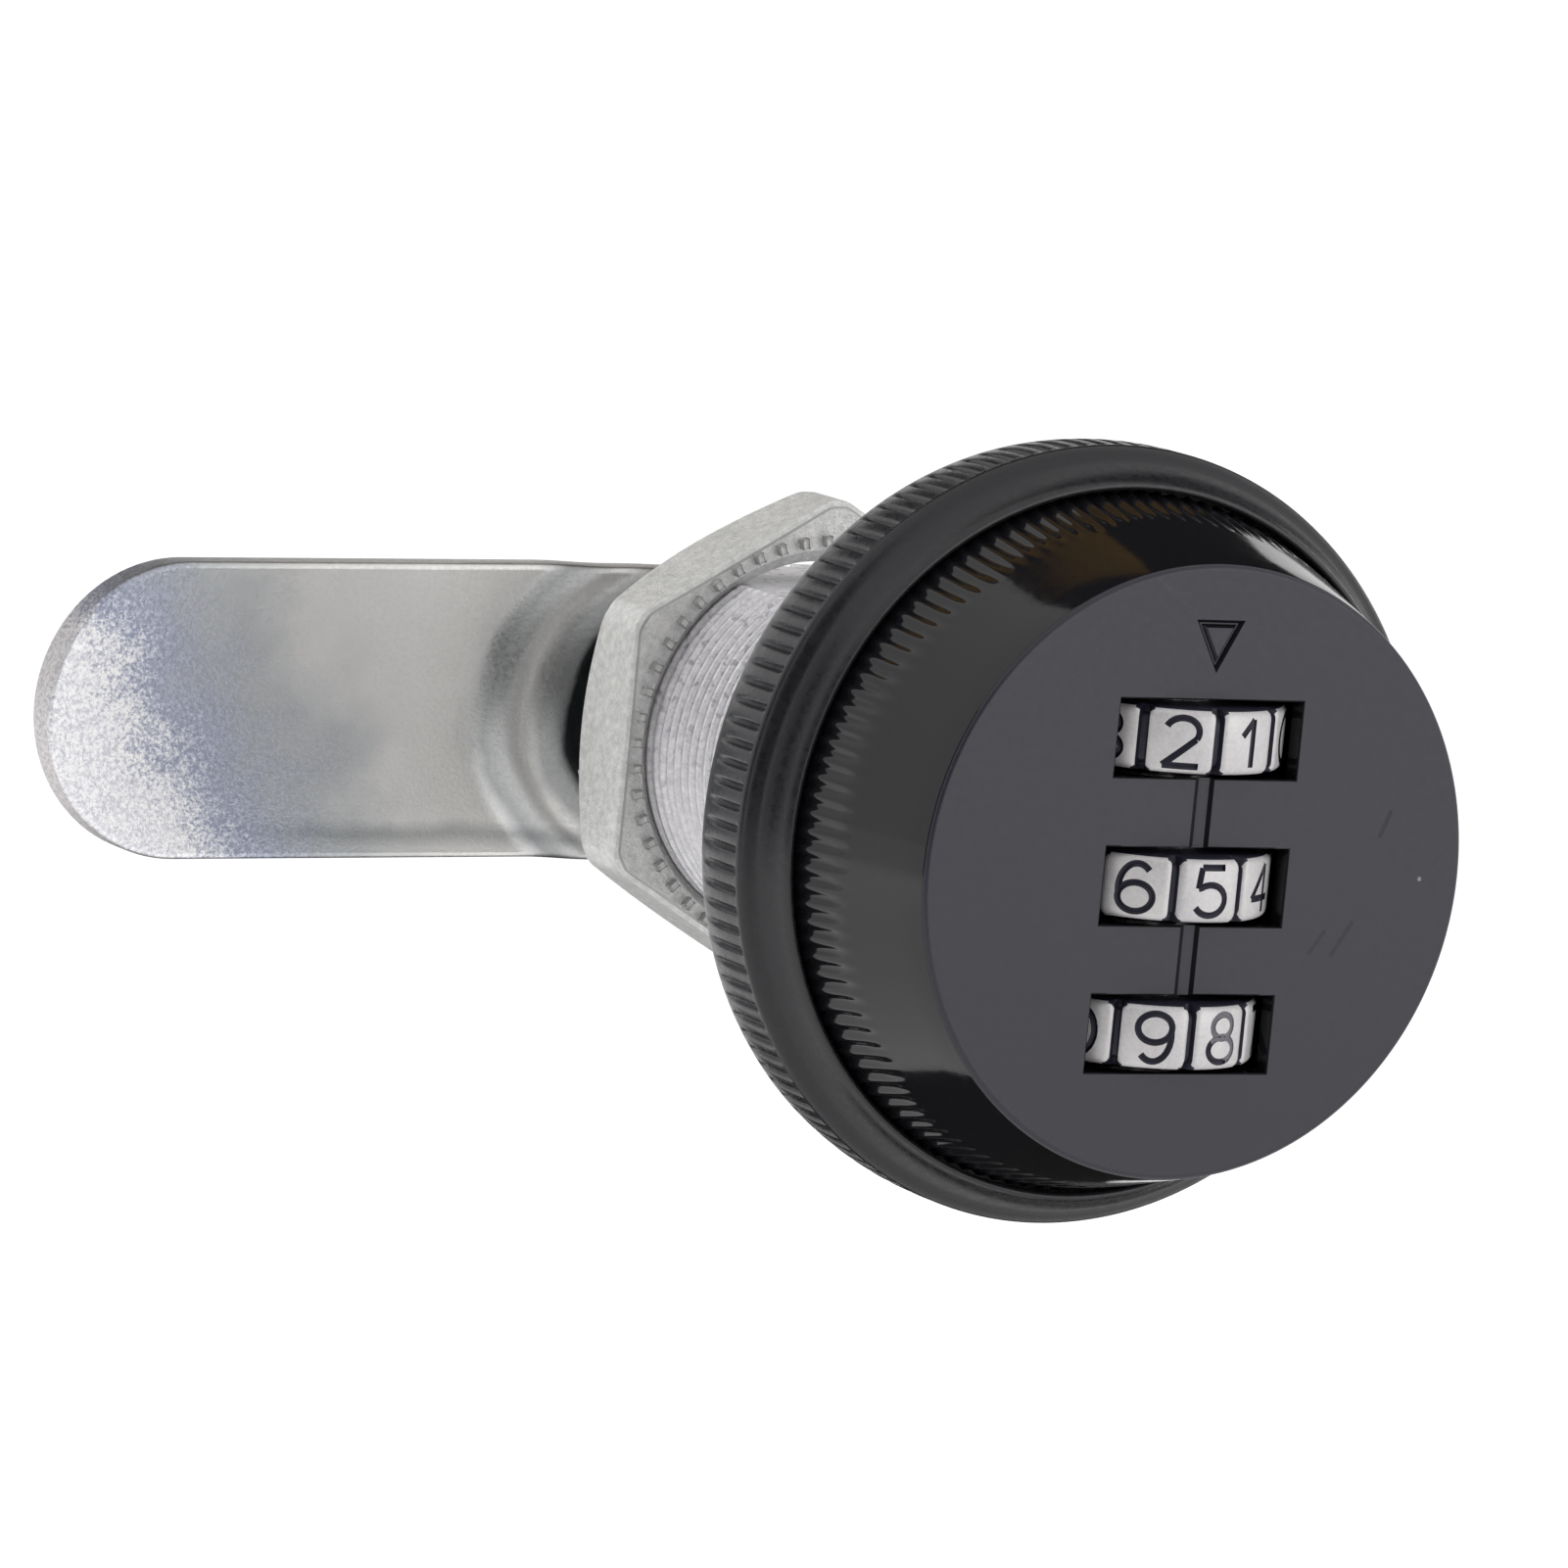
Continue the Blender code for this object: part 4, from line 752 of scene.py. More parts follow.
def threadedZincFinish():
    # Painted shade darkens the thread's roots, and small dark pores show mostly on its upper half
    made = metalFinish("threadedZinc", (0.66, 0.64, 0.68), (1, 0.99, 1), 0.3, 0.5, 0.018 * mm,
                       7000, 2600, 0.4)
    tree = made.node_tree
    color = tree.nodes["Principled BSDF"].inputs["Base Color"]
    place = addNode(tree, "ShaderNodeTexCoord").outputs
    x, y, _ = axesOf(tree, place["Object"])
    reach = reachOf(tree, x, y)
    crest = barrel["threadRadius"]
    root = crest - barrel["threadDepth"]
    deep = rangeNode(tree, reach, root + 0.05 * mm, root + 0.22 * mm, 1, 0)
    slope = mathNode(tree, "ABSOLUTE", axesOf(tree, place["Normal"])[2])
    flank = times(tree, rangeNode(tree, slope, 0.4, 0.7), rangeNode(tree, slope, 0.88, 0.96, 1, 0))
    # painted shade in the thread's roots
    tone = shade(tree, times(tree, deep, flank), color.links[0].from_socket, (0.36, 0.35, 0.37))
    pores = rangeNode(tree, noiseNode(tree, place["Object"], 1900, 1.0, 0.5), 0.6, 0.68)
    pores = times(tree, pores, rangeNode(tree, y, -3 * mm, 3 * mm, 0.2, 0.8))
    pores = times(tree, pores, rangeNode(tree, reach, crest + 0.1 * mm, crest + 0.4 * mm, 1, 0.3))
    link(tree, shade(tree, pores, tone, (0.56, 0.54, 0.58)), color)
    return made


def threadRows(angle, low, high, clearance=0.0):
    # (radius, height) of the thread's rows at one angle, downward, held between two heights
    v = barrel
    pitch = v["threadPitch"]
    rows = []
    for turn in range(math.floor(-high / pitch) - 2, math.ceil(-low / pitch) + 1):
        for phase, share in v["threadRows"]:
            height = -pitch * (turn + phase + angle / fullTurn)
            radius = v["threadRadius"] - v["threadDepth"] * (1 - share) + clearance
            rows.append((radius, min(max(height, low), high)))
    return rows


def barrelProfile(angle):
    v = barrel
    edge = v["flangeEdge"]
    outline = [
        (v["headRoom"], v["flangeHeight"]),
        (v["flangeRadius"] - edge, v["flangeHeight"]),
        (v["flangeRadius"], v["flangeHeight"] - edge),
        (v["flangeRadius"], 0),
    ]
    root = v["threadRadius"] - v["threadDepth"]
    for radius, height in threadRows(angle, -v["length"], 0):
        if height in (0, -v["length"]):
            radius = root
        fromEnd = min((height + v["length"]) / v["chamfer"], 1)
        outline.append((min(radius, v["threadRadius"] - v["chamfer"] * (1 - fromEnd)), height))
    counterbore = v["rearBoreDepth"] - v["length"]
    outline += [
        (v["rearBore"], -v["length"]),
        (v["rearBore"], counterbore),
        (v["bore"], counterbore),
        (v["bore"], v["headFloor"]),
        (v["headRoom"], v["headFloor"]),
    ]
    return outline


def makeBarrel():
    v = barrel
    bm = loft(bmesh.new(), ringPoints(v["columns"], welded=True), barrelProfile, welded=True)
    for vert in bm.verts:
        if vert.co.z < -0.01 * mm:
            vert.co.y = min(max(vert.co.y, -v["flat"]), v["flat"])
    tube = placeMesh("threadedBarrel", meshFrom("threadedBarrel", bm))
    tools = [stopTool(), grooveTool()]
    for tool in tools:
        addModifier(tube, tool, "DIFFERENCE")
    bake(tube, tools)
    finishPiece(tube, "housing", threadedZincFinish(), "barrel", 50)


def stopTool():
    # Sector of the rear rim that the stop washer's tab swings through
    v = barrel
    spread = math.asin(v["stopTabWidth"] / 2 / v["rearBore"]) + math.radians(2)
    start, end = math.pi / 2 - spread, math.pi + spread
    rim = arcStroke(0, 0, 20 * mm, 20 * mm, math.degrees(start), math.degrees(end), 16)
    ends = -v["length"] - mm, v["stopRim"] - v["length"]
    return prismTool("stopSector", [[(x, y, z) for x, y in [(0, 0)] + rim] for z in ends])


def grooveTool():
    # Helical ramp in the flange for the locking bolt's nose
    v = boltNose
    radius = math.hypot(*v["spot"])
    inner, outer = radius - v["grooveHalf"], radius + v["grooveHalf"]
    margin = v["grooveEnd"] / radius
    start = math.atan2(v["spot"][1], v["spot"][0]) + margin
    sweep = math.pi / 2 + 2 * margin
    slope = v["lift"] / (math.pi / 2)
    outlines = []
    for i in range(33):
        angle = start - sweep * i / 32
        low, high = v["floor"] - slope * margin + slope * sweep * i / 32, 5 * mm
        outlines.append([(r * math.cos(angle), r * math.sin(angle), h)
                         for r, h in ((inner, low), (outer, low), (outer, high), (inner, high))])
    return prismTool("rampGroove", outlines)


makeBarrel()

# Nut

nut = {
    "halfFlats": 11.0 * mm,
    "front": -22.09 * mm,
    "thickness": 4.95 * mm,
    "cornerRadius": 12.42 * mm,  # the six corners are a little rounded
    "crown": 10.7 * mm,
    "crownSlope": 40.0,
    "threadGap": 0.05 * mm,
    "boreChamfer": 0.4 * mm,
    "boreStep": 0.1 * mm,
    "frontEdge": 0.26 * mm,
    "teeth": 50,
    "toothRing": 10.44 * mm,
    "toothLength": 0.52 * mm,
    "toothWidth": 0.42 * mm,
    "toothHeight": 0.3 * mm,
    "toothTop": 0.82,  # share of the foot
    "toothSunk": 0.1 * mm,
    "columns": 360,
}


def hexRadius(angle):
    v = nut
    flatTurn = (angle + math.pi / 6) % (math.pi / 3) - math.pi / 6
    sharp = v["halfFlats"] / math.cos(flatTurn)
    # Smooth minimum of the flat and the corner's round
    softness = 0.12 * mm
    gap = v["cornerRadius"] - sharp
    share = min(max(0.5 + gap / (2 * softness), 0), 1)
    return v["cornerRadius"] + (sharp - v["cornerRadius"]) * share - softness * share * (1 - share)


def nutProfile(angle):
    v = nut
    side = hexRadius(angle)
    front, rear = v["front"], v["front"] - v["thickness"]
    slope = math.tan(math.radians(v["crownSlope"]))
    start = rear + max(side - v["crown"], 0) * slope
    edge, chamfer = v["frontEdge"], v["boreChamfer"]
    mouth = barrel["threadRadius"] + v["threadGap"] + chamfer
    crown = min(side, v["crown"])
    outline = [
        (mouth + 0.06 * mm, front - v["boreStep"]),
        (mouth + 0.08 * mm, front),
        (side - edge - 0.11 * mm, front),
        (side - edge, front - 0.08 * mm),
        (side - edge * 0.35, front - 0.12 * mm),
        (side, front - edge * 0.8),
        (side, start + 0.12 * mm),
        (side - 0.03 * mm, start),
        (side - 0.14 * mm, start - 0.1 * mm),
        (crown + 0.1 * mm, rear + 0.05 * mm),
        (crown - 0.05 * mm, rear),
    ]
    # The thread runs out in a cone at both mouths
    for radius, height in reversed(threadRows(angle, rear, front - v["boreStep"], v["threadGap"])):
        inside = min(height - rear, front - v["boreStep"] - height)
        outline.append((max(radius, mouth - inside), height))
    return outline


def makeNut():
    v = nut
    bm = loft(bmesh.new(), ringPoints(v["columns"], welded=True), nutProfile, welded=True)
    ring, long, wide = v["toothRing"], v["toothLength"] / 2, v["toothWidth"] / 2
    for i in range(v["teeth"]):
        turn = Matrix.Rotation(fullTurn * i / v["teeth"], 4, "Z")
        middle = turn @ Vector((ring, 0, v["front"]))
        verts = addBox(bm, (ring - long, -wide, v["front"] - v["toothSunk"]),
                       (ring + long, wide, v["front"] + v["toothHeight"]))
        edges = set()
        for vert in verts:
            vert.co = turn @ vert.co
            if vert.co.z > v["front"]:
                foot = Vector((middle.x, middle.y, vert.co.z))
                vert.co = foot + (vert.co - foot) * v["toothTop"]
            edges.update(edge for edge in vert.link_edges if max(end.co.z for end in edge.verts) > v["front"])
        bmesh.ops.bevel(bm, geom=list(edges), offset=0.09 * mm, segments=2, profile=0.5, affect="EDGES")
    piece = placeMesh("mountingNut", meshFrom("mountingNut", bm))
    dress(piece.data, nutZinc, nutPaintedShade)
    for face in piece.data.polygons:  # painted shade in the parting line and down the sides of the teeth
        depth, reach = face.center.z - v["front"], face.center.xy.length
        parting = -0.075 * mm < depth < -0.01 * mm and reach > 10.4 * mm
        if parting or (depth > 0 and face.normal.z < 0.35):
            face.material_index = 1
    finishPiece(piece, "housing", None, "mounting_nut", 32)


makeNut()

# Cam

cam = {
    "front": -31.0 * mm,
    "thickness": 2.0 * mm,
    "crank": 2.0 * mm,
    "hubRadius": 7.9 * mm,
    "crankStart": 9.3 * mm,
    "crankEnd": 14.5 * mm,
    "crankRise": 1.35,  # the bend is rounder than a circle round the axis
    "halfWidth": 7.5 * mm,
    "length": 37.5 * mm,
    "square": 3.75 * mm,
    "edgeRound": 0.3 * mm,
    "sag": 1.1,  # degrees the arm hangs low on its square
    "cellSize": 0.3 * mm,
}


def camOutline():
    v = cam
    hub, half = v["hubRadius"], v["halfWidth"]
    join = 180 - math.degrees(math.asin(half / hub))
    hubArc = arcStroke(0, 0, hub, hub, -join, join, 48)
    return hubArc + arcStroke(half - v["length"], 0, half, half, 90, 270, 48)


def camDrop(x, y):
    # How far the plate lies behind the hub: two smooth steps round the axis with a ledge between them
    v = cam
    share = (math.hypot(x, y * v["crankRise"]) - v["crankStart"]) / (v["crankEnd"] - v["crankStart"])
    share = min(max(share, 0), 1)
    return v["crank"] * (share - 0.9 * math.sin(4 * math.pi * share) / (4 * math.pi))


camLook = {
    "grain": (5200, 180),  # scales of the speckle and of the soft clouds
    "lean": 0.62,  # the blue streak leans across the arm
    "cloudDrift": 4 * mm,
    "speckleDrift": 3.4 * mm,
    "arm": (-38 * mm, -8 * mm),  # the colours below run from the tip, bright with a painted reflection, to the hub
    "armTones": (
        (0.0, (1, 0.99, 1)), (0.13, (0.96, 0.95, 0.96)), (0.23, (0.47, 0.50, 0.61)),
        (0.32, (0.5, 0.52, 0.58)), (0.45, (0.56, 0.58, 0.58)), (0.62, (0.8, 0.79, 0.76)),
        (0.86, (0.9, 0.89, 0.86))),
    "bend": (8 * mm, 16 * mm),  # the bands below, a painted shadow by the hub and painted reflections round the bend, lie round the axis between these distances
    "paintedBendTones": (
        (0.0, (0.03, 0.035, 0.04)), (0.2, (0.04, 0.045, 0.05)), (0.23, (0.3, 0.31, 0.32)),
        (0.34, (0.38, 0.39, 0.4)), (0.45, (0.84, 0.84, 0.84)), (0.54, (0.64, 0.65, 0.66)),
        (0.67, (0.46, 0.48, 0.5)), (0.76, (0.84, 0.85, 0.86)), (0.86, (1, 1, 1))),
    # a painted dark reflection runs along the arm's lower edge here
    "lowEdge": -6.55 * mm,
    "lowEdgeReflectionTone": (0.3, 0.32, 0.34),
    "cutTone": (0.6, 0.58, 0.57),
    "sandTone": (0.7, 0.71, 0.76),
    "sandHeight": 0.02 * mm,
    "rough": (0.32, 0.5),
    "metallic": 0.85,
}


def platedCamFinish():
    # Zinc plating, with painted light: the bright tip is a painted reflection, a blue streak crosses the arm,
    # and the bands round the bend are a painted shadow by the hub and painted reflections further out
    v = camLook
    made, tree, shader = newMaterial("camPlating")
    speckle, cloud = grainNode(tree, *v["grain"])
    place = addNode(tree, "ShaderNodeTexCoord").outputs
    x, y, _ = axesOf(tree, place["Object"])
    drift = times(tree, mathNode(tree, "SUBTRACT", cloud, 0.5), v["cloudDrift"])
    fine = times(tree, mathNode(tree, "SUBTRACT", speckle, 0.5), v["speckleDrift"])
    along = plus(tree, plus(tree, plus(tree, x, times(tree, y, v["lean"])), drift), fine)
    share = rangeNode(tree, along, *v["arm"])
    tone = rampNode(tree, share, v["armTones"])
    radius = plus(tree, reachOf(tree, x, times(tree, y, cam["crankRise"])), times(tree, drift, 0.12))
    bendShadowAndReflections = rampNode(tree, rangeNode(tree, radius, *v["bend"]), v["paintedBendTones"])
    # The painted shadow and reflections of the bend lie on the face toward the nut only
    towardNut = axesOf(tree, place["Normal"])[2]
    tone = shade(tree, rangeNode(tree, towardNut, -0.3, 0.3), tone, bendShadowAndReflections)
    # A painted dark reflection runs along the plate's lower edge, and the cut edge all round is darker
    fromEdge = mathNode(tree, "SUBTRACT", plus(tree, y, times(tree, drift, 0.1)), v["lowEdge"])
    low = rangeNode(tree, mathNode(tree, "ABSOLUTE", fromEdge), 0.1 * mm, 0.75 * mm, 1, 0)
    low = times(tree, times(tree, low, rangeNode(tree, x, -27 * mm, -20 * mm)), 0.5)
    tone = shade(tree, low, tone, v["lowEdgeReflectionTone"])
    cut = rangeNode(tree, mathNode(tree, "ABSOLUTE", towardNut), 0.2, 0.9, 1, 0)
    tone = shade(tree, cut, tone, v["cutTone"])
    coarse = rangeNode(tree, share, 0.3, 0.6, 1.0, 0.3)
    sand = rangeNode(tree, speckle, 0.25, 0.85)
    tone = shade(tree, times(tree, sand, coarse), tone, v["sandTone"])
    link(tree, tone, shader.inputs["Base Color"])
    link(tree, rangeNode(tree, speckle, 0, 1, *v["rough"]), shader.inputs["Roughness"])
    bumpNode(tree, shader, times(tree, speckle, coarse), v["sandHeight"])
    shader.inputs["Metallic"].default_value = v["metallic"]
    return made


def makeCam():
    v = cam
    half, cell = v["square"], v["cellSize"]
    curve = newCurve("camOutline", "2D", v["edgeRound"], 3)
    curve.fill_mode = "BOTH"
    curve.extrude = v["thickness"] / 2 - v["edgeRound"]
    curve.offset = -v["edgeRound"]
    for points in (camOutline(), [(-half, -half), (half, -half), (half, half), (-half, half)]):
        addSpline(curve, [(x, y, 0) for x, y in points], True)
    bm = weldedCurve("camHolder", curve)
    # Cut into narrow strips, so that the crank can bend it
    for axis, start, end, step in ((0, -v["crankEnd"] - 0.5 * mm, v["hubRadius"], cell),
                                   (1, -v["halfWidth"] + cell, v["halfWidth"], cell * 2)):
        across = Vector((1 - axis, axis, 0))
        while start < end:
            bmesh.ops.bisect_plane(bm, geom=bm.verts[:] + bm.edges[:] + bm.faces[:], dist=0.0001 * mm,
                                   plane_co=across * start, plane_no=across)
            start += step
    middle = v["front"] - v["thickness"] / 2
    for vert in bm.verts:
        vert.co.z += middle - camDrop(vert.co.x, vert.co.y)
    sag = Matrix.Rotation(math.radians(v["sag"]), 3, "Z")
    bmesh.ops.rotate(bm, verts=bm.verts, cent=(0, 0, 0), matrix=sag)
    piece = placeMesh("camArm", meshFrom("camArm", bm))
    finishPiece(piece, "knob", platedCamFinish(), "cam", 50)


makeCam()

# Number wheels

wheel = {
    "radius": 6.0 * mm,
    "height": 3.12 * mm,
    "tiles": 10,
    "groove": 0.34 * mm,
    "grooveDepth": 0.3 * mm,
    "tileRound": 0.34 * mm,
    "tileCorner": 0.34 * mm,
    "rimRound": 0.4 * mm,
    "bore": 2.95 * mm,
    "digitHeight": 2.3 * mm,
    "digitWidth": 1.9 * mm,
    "stroke": 0.19 * mm,  # half the width of the engraved line
    "firstTurn": (15.6, 1.3, 16.8),
    "firstDigit": (1, 5, 8),
    "worn": {(2, 8): (0, 1)},  # strokes of the last wheel's 8 that have lost most of their paint
    "columns": 360,
}


# Strokes in a box 2 wide and 2 high; a closed stroke repeats its first point
digitStrokes = {
    0: [arcStroke(0, 0, 0.92, 1, 90, 450, 28)],
    1: [[(-0.55, 0.3), (0.16, 1)], [(0.16, 1), (0.16, -1)]],
    2: [arcStroke(0, 0.42, 0.86, 0.58, 160, -30), [(0.74, 0.13), (-0.9, -1)], [(-0.9, -1), (0.95, -1)]],
    3: [arcStroke(0, 0.5, 0.78, 0.5, 150, -80), arcStroke(0, -0.48, 0.9, 0.52, 80, -150)],
    4: [[(0.35, -1), (0.35, 1)], [(0.35, 1), (-0.95, -0.4)], [(-0.95, -0.4), (0.98, -0.4)]],
    5: [[(0.75, 1), (-0.6, 1)], [(-0.6, 1), (-0.72, 0.12)],
        [(-0.72, 0.12)] + arcStroke(-0.02, -0.36, 0.9, 0.64, 128, -150)],
    6: [arcStroke(0.02, -0.05, 0.9, 1.05, 48, 190, 14), arcStroke(0, -0.4, 0.88, 0.6, 90, 450, 28)],
    7: [[(-0.9, 1), (0.9, 1)], [(0.9, 1), (-0.3, -1)]],
    8: [arcStroke(0, 0.5, 0.7, 0.5, 90, 450, 24), arcStroke(0, -0.47, 0.88, 0.53, -60, 140, 20),
        arcStroke(0, -0.47, 0.88, 0.53, 140, 300, 16)],
    9: [arcStroke(-0.02, 0.05, 0.9, 1.05, 228, 370, 14), arcStroke(0, 0.4, 0.88, 0.6, 90, 450, 28)],
}


def finerStroke(stroke, step=0.3):
    # Straight lines get points between their ends, so that they follow the round wheel
    points = [stroke[0]]
    for start, end in zip(stroke, stroke[1:]):
        count = max(math.ceil(math.dist(start, end) / step), 1)
        points += [tuple(Vector(start).lerp(Vector(end), i / count)) for i in range(1, count + 1)]
    return points


def wheelProfile(angle, first):
    v = wheel
    step = fullTurn / v["tiles"]
    off = abs((angle - first + step / 2) % step - step / 2)
    fromEdge = (step / 2 - off) * v["radius"] - v["groove"] / 2
    sink = 0.0
    if fromEdge <= 0:
        sink = v["grooveDepth"]
    elif fromEdge < v["tileRound"]:
        sink = v["tileRound"] * (1 - math.sqrt(1 - (1 - fromEdge / v["tileRound"]) ** 2)) * 0.5
    radius = v["radius"] - sink
    half = v["height"] / 2
    corner = v["tileCorner"]
    cut = corner - math.sqrt(max(corner ** 2 - max(corner - max(fromEdge, 0), 0) ** 2, 0))
    rim = v["rimRound"]
    outline = [(v["bore"], -half), (radius - rim * 1.2, -half)]
    outline += roundCorner((radius - rim, -half + rim + cut), rim, -80, 0, 4)
    outline += roundCorner((radius - rim, half - rim - cut), rim, 0, 80, 4)
    outline += [(radius - rim * 1.2, half), (v["bore"], half)]
    return outline


def digitTools(index, first):
    # Engraved strokes of all ten digits
    v = wheel
    step = fullTurn / v["tiles"]
    kinds = {"inked": ([], []), "faded": ([], [])}
    for i in range(v["tiles"]):
        digit = (v["firstDigit"][index] - i) % 10
        middle = first + i * step
        for j, stroke in enumerate(digitStrokes[digit]):
            lists, closed = kinds["faded" if j in v["worn"].get((index, digit), ()) else "inked"]
            ring = len(stroke) > 2 and math.dist(stroke[0], stroke[-1]) < 1e-6
            if ring:
                closed.append(len(lists))
            stroke = finerStroke(stroke)
            spots = []
            for x, y in (stroke[:-1] if ring else stroke):
                angle = middle + x * v["digitWidth"] / 2 / v["radius"]
                reach = v["radius"] + 0.02 * mm
                spots.append((reach * math.cos(angle), reach * math.sin(angle), y * v["digitHeight"] / 2))
            lists.append(spots)
    tools = []
    for (name, (lists, closed)), ink in zip(kinds.items(), (wheelInkAndShade, fadedInk)):
        if lists:
            mesh = wireMesh(name, lists, v["stroke"], closed, 1)
            dress(mesh, ink)
            tools.append(placeMesh(name, mesh, 0))
    return tools


def makeWheel(index):
    v = wheel
    first = -math.pi / 2 + math.radians(v["firstTurn"][index])
    bm = loft(bmesh.new(), ringPoints(v["columns"]), lambda angle: wheelProfile(angle, first))
    piece = placeMesh(f"numberWheel{index + 1}", meshFrom(f"numberWheel{index + 1}", bm), 0)
    dress(piece.data, wheelSilver)
    tools = digitTools(index, first)
    for tool in tools:
        addModifier(piece, tool, "DIFFERENCE", selfCross=True)
    bake(piece, tools)
    # The grooves between the tiles are inked as well; both flanks get the same dark finish as painted shade
    inked = piece.data.materials.find(wheelInkAndShade.name)
    for face in piece.data.polygons:
        reach = face.center.xy.length
        if v["bore"] + mm < reach < v["radius"] - v["grooveDepth"] * 0.5 or abs(face.normal.z) > 0.8:
            face.material_index = inked
    piece.location = (0, -axleHeight, wheelRows[index])
    finishPiece(piece, f"wheel_{index + 1}", None, f"number_wheel_{index + 1}", 30)


for wheelIndex in range(3):
    makeWheel(wheelIndex)

# Bolt spring, drawn at one length; in the lock it shortens as the ramp lifts the bolt

boltSpring = {
    "radius": 1.1 * mm,
    "wire": 0.25 * mm,
    "turns": 4,
    "stepsPerTurn": 28,
    "low": 5.3 * mm,
    "high": 8.5 * mm,
    "pressedShare": 0.74,
}


def makeBoltSpring():
    v = boltSpring
    middle, low, high = v["radius"] - v["wire"], v["low"] + v["wire"], v["high"] - v["wire"]
    x, y = boltNose["spot"]
    points = []
    for i in range(v["turns"] * v["stepsPerTurn"] + 1):
        done = i / v["stepsPerTurn"]
        angle = fullTurn * done
        climb = min(max((done - 0.5) / (v["turns"] - 1), 0), 1)  # half a turn lies level at each end
        reach = x + middle * math.cos(angle), y + middle * math.sin(angle)
        points.append((*reach, low + (high - low) * climb))
    coil = placeMesh("boltSpring", wireMesh("boltSpring", [points], v["wire"]))
    finishPiece(coil, "knob", springWire, "bolt_spring", 40)
    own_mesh(coil)


makeBoltSpring()

# Parts that keep their CAD shape

cadFinishes = (
    (carrierBlack, ("dial_carrier",)),
    (zincPlate, ("carrier_screw_left", "carrier_screw_right", "stop_washer", "cam_washer", "cam_screw",
                 "locking_bolt")),
    (springWire, ("dial_axle", "axle_spring", "detent_spring", "retaining_clip", "spring_washer")),
    (castZinc, ("spindle", "code_sleeve_1", "code_sleeve_2", "code_sleeve_3")),
)
for finish, nodeNames in cadFinishes:
    for nodeName in nodeNames:
        dress(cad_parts[nodeName].data, finish)
print("CAD parts finished")

# Studio

studio = {
    "floorHeight": -0.1,
    "floorSize": 4.0,
    "floorGlow": 0.5,
    "skyForDiffuse": 0.75,
    "softboxes": {  # spot, side lengths, radiance, seen in reflections
        "frontBox": ((0.41, -0.68, 0.05), (0.56, 0.6), 1.4, True),
        "sideBox": ((-0.495, 0.15, 0.19), (0.2, 0.2), 7.5, False),
    },
    "darkCards": {  # black cards beside the lens: spot, what they face, side lengths
        "topCard": ((0.33, 0.4, 0.56), (0.33, 0, 0.56), (0.9, 0.79)),
        "lowCard": ((0.04, 0.115, -0.096), (0.04, 0.115, 1), (0.15, 0.16)),
        "leftCard": ((-0.6, 0.0, 0.15), (0, 0, 0.15), (0.24, 0.7)),
        "cameraCard": ((-0.34, -0.6, 0.15), (0, 0, 0.15), (0.62, 0.7)),
    },
    "brownCard": ((0.03, 0.39, 0.49), (0.03, 0, 0.49), (0.32, 0.2)),  # the photograph's brown reflection
    "lens": 269.83,  # on a sensor 36 wide, fitted to the photograph
    "cameraSpot": (-0.29214, -0.48358, 0.07891),
    "cameraTurn": (82.0699, -5.4929, -29.106),
}


def makeFloor():
    bm = bmesh.new()
    bmesh.ops.create_grid(bm, x_segments=1, y_segments=1, size=studio["floorSize"] / 2)
    floor = placeMesh("floor", meshFrom("floor", bm), 0, (0, 0, studio["floorHeight"]))
    made, tree, shader = newMaterial("floorWhite")
    setInputs(shader, {"Base Color": (0.9, 0.9, 0.9, 1), "Roughness": 0.9, "Specular IOR Level": 0.0,
                       "Emission Color": (1, 1, 1, 1)})
    glow = rangeNode(tree, backdropRays(tree), 0, 1, 0, studio["floorGlow"])
    link(tree, glow, shader.inputs["Emission Strength"])
    dress(floor.data, made)


def backdropRays(tree):
    rays = addNode(tree, "ShaderNodeLightPath").outputs
    seen = mathNode(tree, "MAXIMUM", rays["Is Camera Ray"], rays["Is Glossy Ray"])
    return mathNode(tree, "MAXIMUM", seen, rays["Is Transmission Ray"])


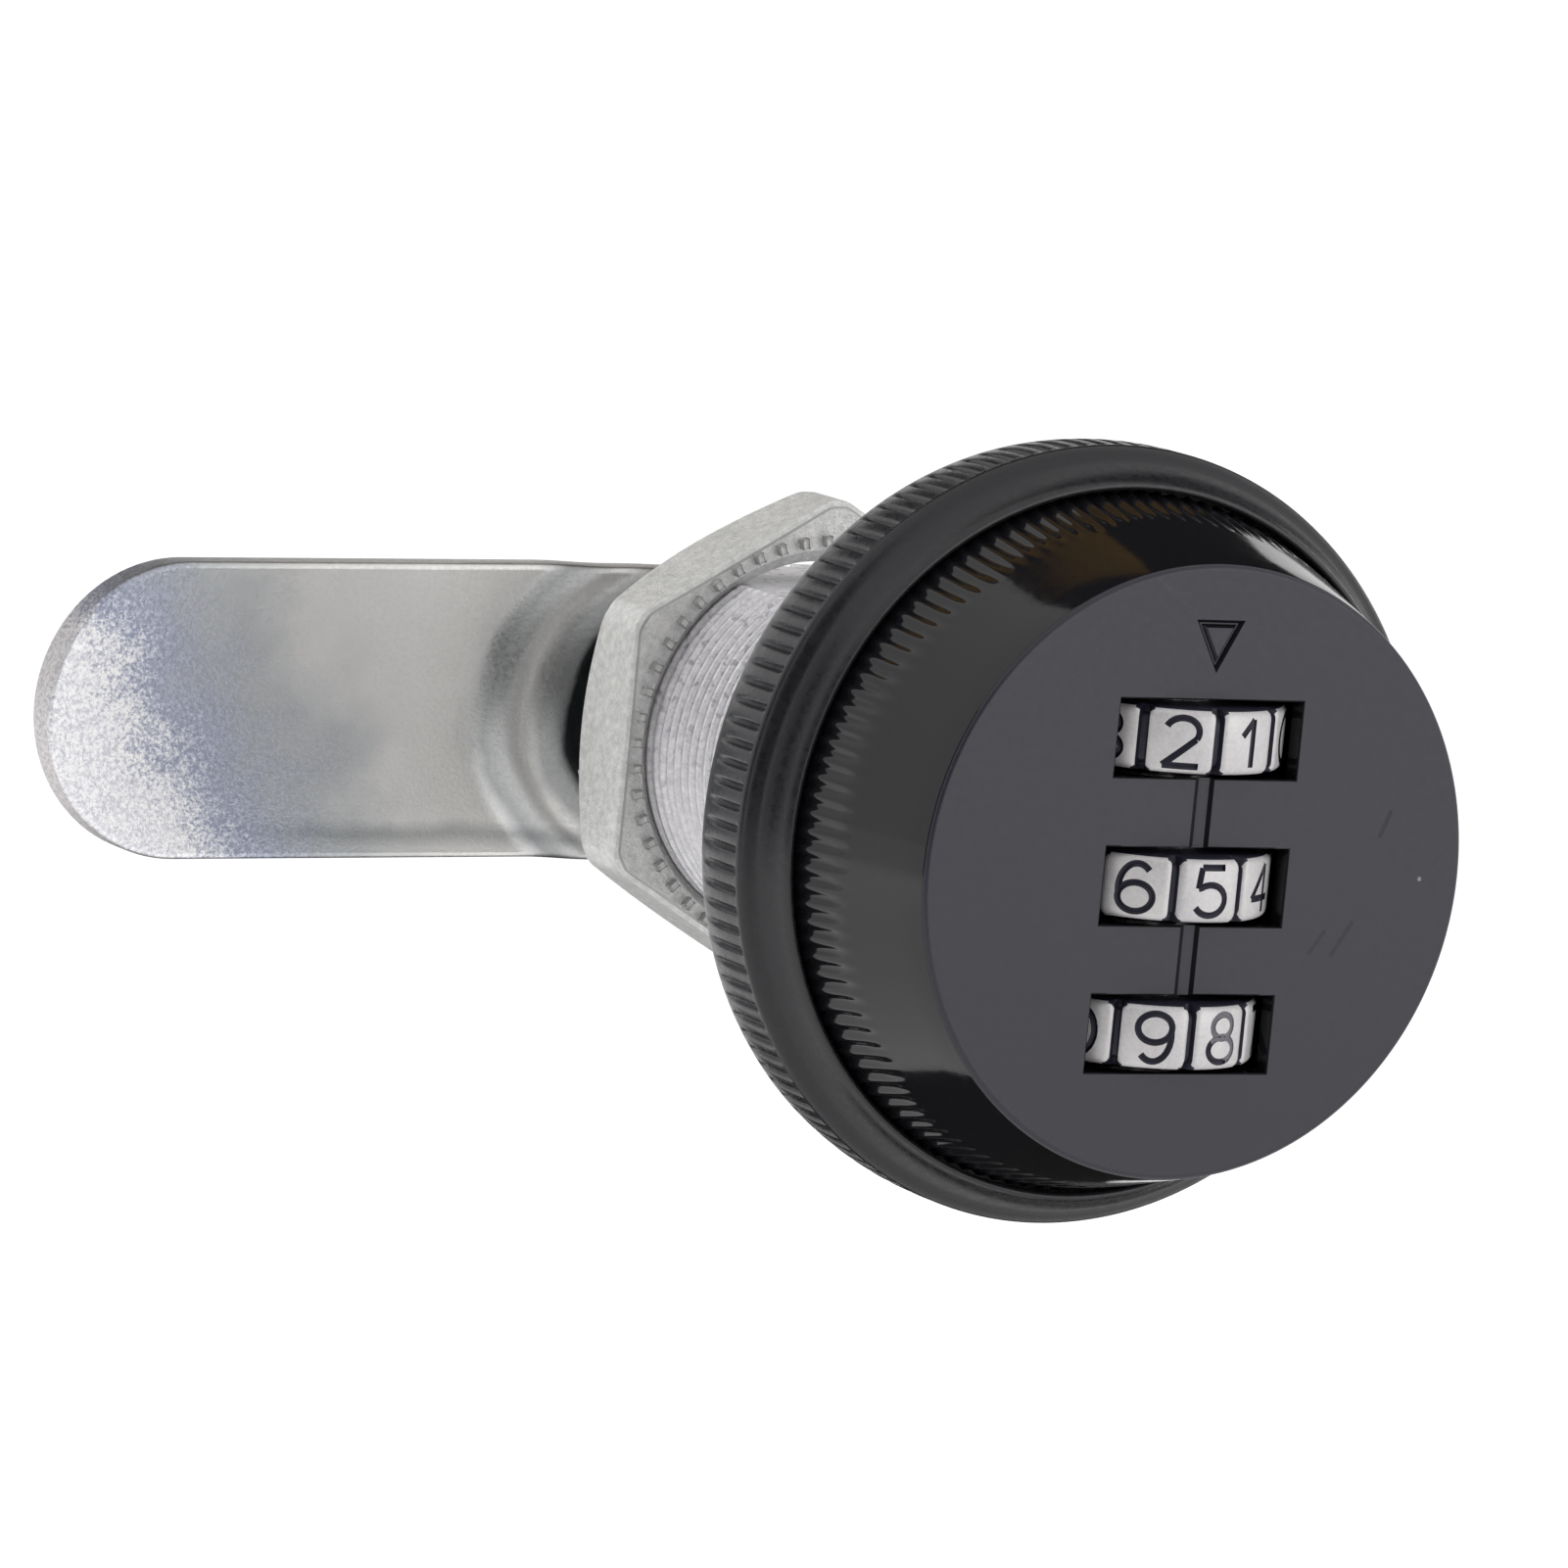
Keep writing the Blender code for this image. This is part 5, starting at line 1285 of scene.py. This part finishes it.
def makeWorld():
    world = bpy.data.worlds.new("studioSky")
    world.use_nodes = True
    tree = world.node_tree
    sky = tree.nodes["Background"]
    strength = rangeNode(tree, backdropRays(tree), 0, 1, studio["skyForDiffuse"], 1.0)
    link(tree, strength, sky.inputs["Strength"])
    sky.inputs["Color"].default_value = (1, 1, 1, 1)
    bpy.context.scene.world = world


def facing(spot, aim=(0, 0, 0)):
    return (Vector(aim) - Vector(spot)).to_track_quat("-Z", "Y").to_euler()


def makeSoftbox(name, spot, size, radiance, mirrored):
    lamp = bpy.data.lights.new(name, "AREA")
    lamp.shape = "RECTANGLE"
    lamp.size, lamp.size_y = size
    lamp.energy = radiance * math.pi * size[0] * size[1]
    holder = addObject(name, lamp)
    holder.location = spot
    holder.rotation_euler = facing(spot)
    holder.visible_glossy = mirrored


def makeCard(name, spot, aim, size, finish):
    bm = bmesh.new()
    bmesh.ops.create_grid(bm, x_segments=1, y_segments=1, size=0.5, matrix=Matrix.Diagonal((*size, 1, 1)))
    card = placeMesh(name, meshFrom(name, bm), 0, spot)
    card.rotation_euler = facing(spot, aim)
    dress(card.data, finish)
    card.visible_camera = False


def makeCamera():
    # The camera looks along the lock from its left, a little from above
    lens = bpy.data.cameras.new("camera")
    lens.lens = studio["lens"]
    lens.sensor_width = 36
    lens.clip_start = 0.01
    lens.clip_end = 20
    holder = addObject("camera", lens)
    holder.location = studio["cameraSpot"]
    holder.rotation_euler = [math.radians(turn) for turn in studio["cameraTurn"]]
    bpy.context.scene.camera = holder


makeFloor()
makeWorld()
for name, values in studio["softboxes"].items():
    makeSoftbox(name, *values)
cardBlack = blackFinish("cardBlack", (0.02, 0.019, 0.018), (0.03, 0.03, 0.03), 0.9, 0.02, 0.2, 0.01 * mm, 0.0)
for name, values in studio["darkCards"].items():
    makeCard(name, *values, cardBlack)
cardBrown = blackFinish("cardBrown", (0.4, 0.23, 0.05), (0.22, 0.12, 0.02), 0.9, 0.02, 0.3, 0.01 * mm, 0.0)
makeCard("brownCard", *studio["brownCard"], cardBrown)
makeCamera()
bpy.context.scene.view_settings.view_transform = "Standard"
print("studio made")
